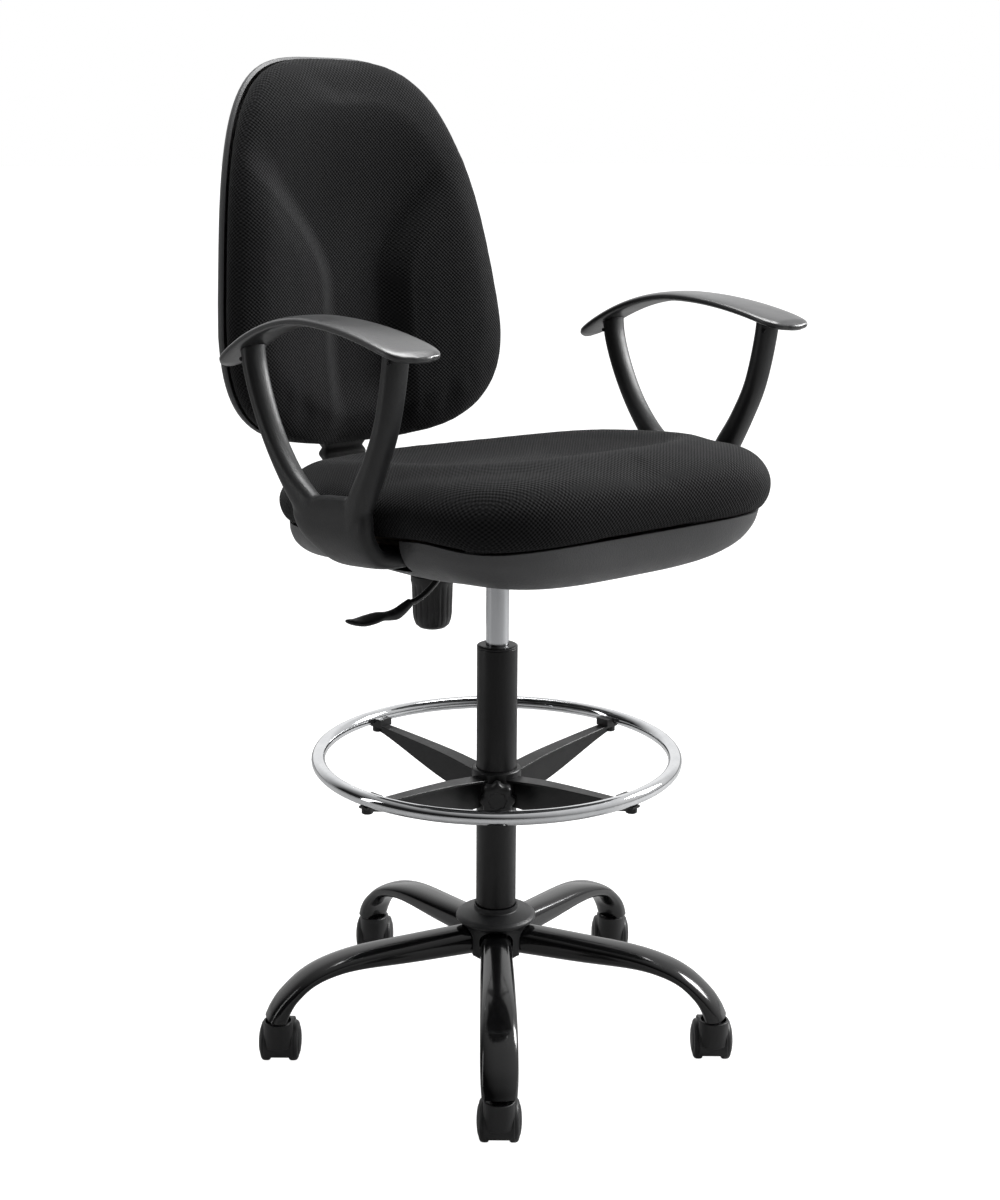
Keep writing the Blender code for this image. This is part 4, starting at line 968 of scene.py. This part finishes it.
ARM_BOLTS = ((0.168, -0.052), (0.168, -0.104), (0.205, -0.078))
SEAT_BOLTS = ((0.045, -0.062), (-0.045, -0.062), (0.045, 0.142), (-0.045, 0.142))
PAD_SCREWS = ((-0.1690, 0.9105, -0.0112), (0.0975, 0.8890, 0.0108))


def make_screws():
    """The screws of the arm pads, and the bolts of the arms' feet and the seat board."""
    for side, label in ((1, "left"), (-1, "right")):
        for i, (x, y) in enumerate(ARM_BOLTS, 1):
            bolt(f"arm_bolt_{label}_{i}", side * x, y, FOOT_LOW - 0.0002, 0.0062, 0.0036)
        for i, (y, z, reach) in enumerate(PAD_SCREWS, 1):
            shape = bmesh.new()
            low = Vector((side * ARM_X - 0.0135, y + reach * 0.6, z))
            add_lathe(shape, [(0.0, 0.0012), (0.0012, 0.0004), (0.0020, 0.0010), (0.0025, 0.0006),
                              (0.0025, -0.0010), (0.0, -0.0010)], 24,
                      Matrix.Translation(low) @ Matrix.Rotation(-math.pi / 2, 4, "Y"))
            piece(f"pad_screw_{label}_{i}", shape, BOLT_BLACK, "seat")
    for i, (x, y) in enumerate(SEAT_BOLTS, 1):
        bolt(f"seat_bolt_{i}", x, y, FOOT_HIGH - 0.0034, 0.0056, 0.0040)


def bolt(name, x, y, under, radius, height):
    """A round head with a recess below a washer, and its shank up into the seat board."""
    level = seat_level(y)
    at, top = Vector((x, y, level + under)), level - 0.006
    shape = bmesh.new()
    add_lathe(shape, [(0.0, -height * 0.45), (radius * 0.48, -height * 0.45),
                      (radius * 0.50, -height), (radius * 0.86, -height),
                      (radius, -height * 0.78), (radius, -0.0010), (radius * 1.45, -0.0010),
                      (radius * 1.45, 0.0), (0.0030, 0.0), (0.0030, top - at.z),
                      (0.0, top - at.z)],
              36, Matrix.Translation(at))
    piece(name, shape, BOLT_BLACK, "seat")


# ---------------------------------------------------------------- lever and tension knob
def make_lever():
    knots = [(0.000, 0.002, 0.6750), (-0.022, 0.006, 0.6750), (-0.044, 0.016, 0.6650),
             (-0.058, 0.020, 0.6470), (-0.0681, 0.020, 0.6289), (-0.0816, 0.020, 0.6149),
             (-0.0951, 0.020, 0.6050), (-0.1080, 0.020, 0.5990), (-0.1180, 0.020, 0.5970)]
    path = spline(knots, 8)
    rings = []
    for point, ahead in zip(path, directions(path)):
        normal = ahead.cross(BACKWARDS).normalized()
        rings.append(section(point, normal.cross(ahead).normalized(), normal, 0.0040, 0.0037, 24,
                             2.0))
    piece("lever_rod", lofted(closed_ends(rings, 0.4)), "gloss_black_steel", "lever",
          ["height_lever"], 60)
    paddle = [(-0.1186, 0.5968, 0.0058, 0.0052), (-0.128, 0.5915, 0.0070, 0.0066),
              (-0.138, 0.5870, 0.0080, 0.0066), (-0.150, 0.5862, 0.0090, 0.0052),
              (-0.163, 0.5875, 0.0125, 0.0046), (-0.177, 0.5860, 0.0150, 0.0044),
              (-0.191, 0.5850, 0.0140, 0.0038), (-0.203, 0.5872, 0.0095, 0.0030),
              (-0.2085, 0.5890, 0.0035, 0.0018)]
    rings = [section(Vector((x, 0.020, z)), BACKWARDS, UP, a, b, 36, 2.3)
             for x, z, a, b in spline(paddle, 6)]
    piece("lever_handle", lofted(closed_ends(rings, 0.3)), "nylon", "lever", ["lever_paddle"],
          60)


TENSION_Y = 0.130


def make_tension_knob():
    """A cup knob with finger grooves round its skirt."""
    profile = [(0.0240, 0.5905), (0.0245, 0.5945), (0.0262, 0.5950), (0.0275, 0.5938),
               (0.0275, 0.5870), (0.0266, 0.5838), (0.0261, 0.5800), (0.0256, 0.5640),
               (0.0250, 0.5440), (0.0240, 0.5370), (0.0215, 0.5302), (0.0170, 0.5262),
               (0.0120, 0.5246), (0.0060, 0.5240), (0.0002, 0.5240)]
    inside = [(0.0002, 0.5330), (0.0180, 0.5330), (0.0222, 0.5440), (0.0236, 0.5860)]
    rings = []
    for radius, height in profile + inside + [profile[0]]:
        ring = []
        groove = smoothstep(height, 0.5300, 0.5440) * smoothstep(-height, -0.5850, -0.5790)
        if radius < 0.0237:
            groove = 0.0
        for i in range(144):
            angle = math.tau * i / 144
            inward = 0.0011 * groove * max(0.0, math.cos(18 * angle)) ** 2
            ring.append(Vector(((radius - inward) * math.cos(angle),
                                TENSION_Y + (radius - inward) * math.sin(angle), height)))
        rings.append(ring)
    shape = lofted(rings, closed=False)
    bmesh.ops.remove_doubles(shape, verts=shape.verts[:], dist=1e-6)
    piece("tension_cup", shape, "nylon", "knob", ["tension_knob"], 38)


def make_spring():
    """The tension spring, which the bar squeezes as the back reclines."""
    turns, low, high, radius, wire = 5.5, 0.5355, 0.6105, 0.0104, 0.0014
    steps = int(turns * 28)
    rings = []
    for i in range(steps + 1):
        angle = math.tau * turns * i / steps
        out = Vector((math.cos(angle), math.sin(angle), 0))
        centre = Vector((0, TENSION_Y, low + (high - low) * i / steps)) + out * radius
        rings.append([centre + out * (wire * math.cos(a)) + UP * (wire * math.sin(a))
                      for a in [math.tau * j / 10 for j in range(10)]])
    item = piece("coil_spring", lofted(rings), "zinc_steel", "seat", ["tension_spring"], 70)
    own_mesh(item)


# ---------------------------------------------------------------- back
BACK_HALF_WIDTH = 0.210
BACK_MIDDLE = 0.900
BAR_LOW = 0.618
PIVOT_Y, PIVOT_Z = 0.080, 0.636


def bar_y(z):
    """Where the back bar's leaning part stands at a height."""
    return 0.324 + 0.052 * (z - 0.70)


def seam_y(x, z):
    """Where the seam between the back's cushion and its shell lies."""
    wrap = 0.035 * (x / BACK_HALF_WIDTH) ** 2
    bend = 0.30 * max(0.90 - z, 0.0) ** 2 + 0.20 * max(z - 0.94, 0.0) ** 2
    return 0.305 + 0.10 * (z - 0.86) + bend - wrap


def back_outline(scale, count=220):
    points = []
    for angle in halfway_angles(count):
        cosine, sine = math.cos(angle), math.sin(angle)
        power, height, taper = (3.6, 0.330, 0.20) if sine > 0 else (2.9, 0.155, 0.0)
        rise = abs(sine) ** (2 / power)
        x = BACK_HALF_WIDTH * rounded(cosine, power) * (1 - taper * rise)
        points.append((x * scale, BACK_MIDDLE + math.copysign(rise, sine) * height * scale))
    return points


def back_ring(scale, forward):
    return [Vector((x, seam_y(x, z) - forward, z)) for x, z in back_outline(scale)]


def contour(x, z):
    """How far the padding is pulled back: a channel that opens towards the top."""
    half = 0.032 + 0.105 * smoothstep(z, 0.950, 1.155)
    soft = 0.040 + 0.018 * smoothstep(z, 0.98, 1.13)
    depth = 0.0200 * smoothstep(-z, -1.175, -1.000) * smoothstep(z, 0.740, 0.830)
    channel = 1.0 - smoothstep(abs(x), half, half + soft)
    wing = smoothstep(abs(x), half + 0.010, half + soft + 0.035)
    wing *= 1.0 - smoothstep(abs(x), 0.130, 0.200)
    return depth * channel - 0.0065 * wing * smoothstep(-z, -1.140, -1.000)


def make_back_cushion():
    table = [(0.20, 0.0008), (0.50, 0.0008), (0.900, 0.0008), (0.973, 0.0008), (0.992, 0.006),
             (0.997, 0.016), (0.981, 0.0285), (0.928, 0.0385), (0.830, 0.0445), (0.650, 0.0430),
             (0.350, 0.0380), (0.100, 0.0370)]
    rings = [back_ring(scale, forward) for scale, forward in spline(table, 4)]
    item = helper("back_pad", lofted(even(rings, 170)))
    inflate(item, voxel=0.0055, cap=0.0040,
            pin=lambda p: p.y > seam_y(p.x, p.z) - PINNED)
    relax(item, 3)
    soften(item)
    for vertex in item.data.vertices:
        p = vertex.co
        ahead = seam_y(p.x, p.z) - p.y
        if ahead > 0.012:
            p.y += contour(p.x, p.z) * smoothstep(ahead, 0.012, 0.034)
    dress(item, "mesh_fabric", "back", ["back_cushion"], 80)


def make_back_shell():
    tray = [(0.992, -0.0006), (1.002, -0.0050), (0.990, -0.0140), (0.930, -0.0240),
            (0.800, -0.0340), (0.550, -0.0430), (0.250, -0.0480)]
    item = dish("back_pan", back_ring, tray,
                Vector((0, seam_y(0, BACK_MIDDLE) + 0.0490, BACK_MIDDLE)))
    carve(item, [box_tool((-0.034, 0.308, 0.700), (0.034, 0.3520, 0.812))])
    dress(item, "shell_plastic", "back", ["back_shell"], 35)


def make_back_bar():
    path = [(0.066, PIVOT_Z), (PIVOT_Y, PIVOT_Z), (0.096, 0.6285)]
    path += [(y, BAR_LOW) for y in (0.112, 0.150, 0.220, 0.282)]
    bend = 0.040
    corner_y, corner_z = bar_y(BAR_LOW) - bend, BAR_LOW + bend
    path += [(corner_y + bend * math.sin(a), corner_z - bend * math.cos(a))
             for a in [math.radians(d) for d in range(10, 90, 10)]]
    path += [(bar_y(z), z) for z in (0.660, 0.740, 0.840, 0.930)]
    rings = []
    for i, (y, z) in enumerate(path):
        before, after = path[max(i - 1, 0)], path[min(i + 1, len(path) - 1)]
        along = Vector((0, after[0] - before[0], after[1] - before[1])).normalized()
        normal = ACROSS.cross(along)
        rings.append(section(Vector((0, y, z)), ACROSS, normal, 0.0250, 0.0030, 48, 9.0))
    shape = lofted(rings)
    rod_between(shape, (-0.0250, PIVOT_Y, PIVOT_Z), (0.0250, PIVOT_Y, PIVOT_Z), 0.0095, 48)
    item = helper("bar_strip", shape)
    carve(item, [rod_tool("hole", (0, TENSION_Y, 0.600), (0, TENSION_Y, 0.640), 0.0108, 32)])
    dress(item, "powder_coat", "bar", ["back_bar"], 40)

    low, high, folds, fine = 0.6600, 0.7410, 5, 12
    rings = []
    total = 2 * folds * fine
    for i in range(total + 1):
        z = low + (high - low) * i / total
        wave = 0.5 + 0.5 * math.cos(math.tau * folds * i / total)
        reach = 0.0035 * wave ** 0.7
        rings.append(section(Vector((0, bar_y(z), z)), ACROSS, BACKWARDS, 0.0300 + reach,
                             0.0070 + reach, 56, 6.0))
    piece("bellows_sleeve", lofted(rings), "rubber", "bar", ["bar_bellows"], 60)


# ---------------------------------------------------------------- everything
CAD_FINISH = {
    "zinc_steel": ["piston_rod", "thrust_bearing", "rod_clip", "back_pivot_pin", "tension_bolt",
                   "gas_valve_pin"]
    + [f"caster_{k}_stem" for k in range(1, 6)] + [f"caster_{k}_axle" for k in range(1, 6)],
    "powder_coat": ["mechanism_housing"],
    "plywood": ["seat_board", "back_board"],
    "nylon": [f"ring_clip_{k}" for k in range(1, 5)],
}


def finish_cad():
    """Gives the CAD meshes that nothing replaces their finish."""
    for finish, names in CAD_FINISH.items():
        for name in names:
            mesh = frame["nodes"][name].data
            if not mesh.materials:
                mesh.materials.append(None)
            for i in range(len(mesh.materials)):
                mesh.materials[i] = FINISH[finish]


def make_stage():
    shape = bmesh.new()
    bmesh.ops.create_grid(shape, x_segments=8, y_segments=8, size=60.0)
    floor = meshed("floor", shape)
    n = Finish("pale_floor")
    n.finish(n.ramp(n.noise(2.0, 3.0), 0.3, 0.7, (0.30, 0.30, 0.30), (0.33, 0.33, 0.33)),
             n.span(n.noise(11.0, 3.0), 0.3, 0.7, 0.55, 0.65), n.bump(n.noise(60.0), 0.02, 0.001))
    # the camera sees the floor glow white, but little of that glow lights the chair
    n.shader.inputs["Emission Color"].default_value = (1, 1, 1, 1)
    n.link(n.math("MULTIPLY_ADD", n.camera_ray(), 0.94, 0.05),
           n.shader.inputs["Emission Strength"])
    floor.data.materials.append(n.material)


def area(name, place, aim, width, height, power):
    light = bpy.data.lights.new(name, "AREA")
    light.shape = "RECTANGLE"
    light.size, light.size_y = width, height
    light.energy = power
    item = linked(name, light)
    item.location = place
    item.rotation_euler = (Vector(aim) - Vector(place)).to_track_quat("-Z", "Y").to_euler()


def make_light():
    world = bpy.data.worlds.new("studio")
    bpy.context.scene.world = world
    world.use_nodes = True
    n = Nodes(world.node_tree)
    # a studio that is bright above and to the camera's right and dim towards its left, with a
    # white backdrop behind the chair; the camera itself sees white everywhere
    studio = n.span(n.along((0.68, -0.10, 0.72)), -0.20, 0.95, 0.015, 0.72)
    backdrop = n.span(n.along((0.64, 0.76, 0.10)), 0.30, 0.90, 0.0, 0.95)
    glow = n.math("MAXIMUM", studio, backdrop)
    sky = n.tree.nodes["Background"]
    sky.inputs["Color"].default_value = (1.0, 1.0, 1.0, 1)
    n.link(n.math("MAXIMUM", glow, n.camera_ray()), sky.inputs["Strength"])
    # key from the camera's upper right, a low fill on its left, and one above
    area("key", place=(2.3, -0.9, 1.8), aim=(0, 0, 0.7), width=0.9, height=1.1, power=74)
    area("fill", place=(-2.2, 1.2, 1.1), aim=(0, 0, 0.6), width=0.3, height=1.8, power=5)
    area("top", place=(0.3, 0.3, 3.0), aim=(0, 0, 0.7), width=1.6, height=1.2, power=66)


def make_camera():
    data = bpy.data.cameras.new("camera")
    data.lens = 55.437
    data.sensor_width = 36.0
    data.shift_y = -0.0185
    item = linked("camera", data)
    heading, tilt, roll = (math.radians(angle) for angle in (-39.68, 76.605, 0.374))
    turn = (Matrix.Rotation(heading, 4, "Z") @ Matrix.Rotation(tilt, 4, "X")
            @ Matrix.Rotation(roll, 4, "Z"))
    item.matrix_world = Matrix.Translation(ORIGIN + Vector((-1.3870, -1.6760, 1.1320))) @ turn
    bpy.context.scene.camera = item


def make_chair():
    make_base()
    make_casters()
    make_column()
    make_ring()
    make_seat_cushion()
    make_seat_shell()
    make_arm(1, "left")
    make_arm(-1, "right")
    make_screws()
    make_lever()
    make_tension_knob()
    make_spring()
    make_back_cushion()
    make_back_shell()
    make_back_bar()
    finish_cad()


make_chair()
make_stage()
make_light()
make_camera()
bpy.context.scene.view_settings.view_transform = "Standard"
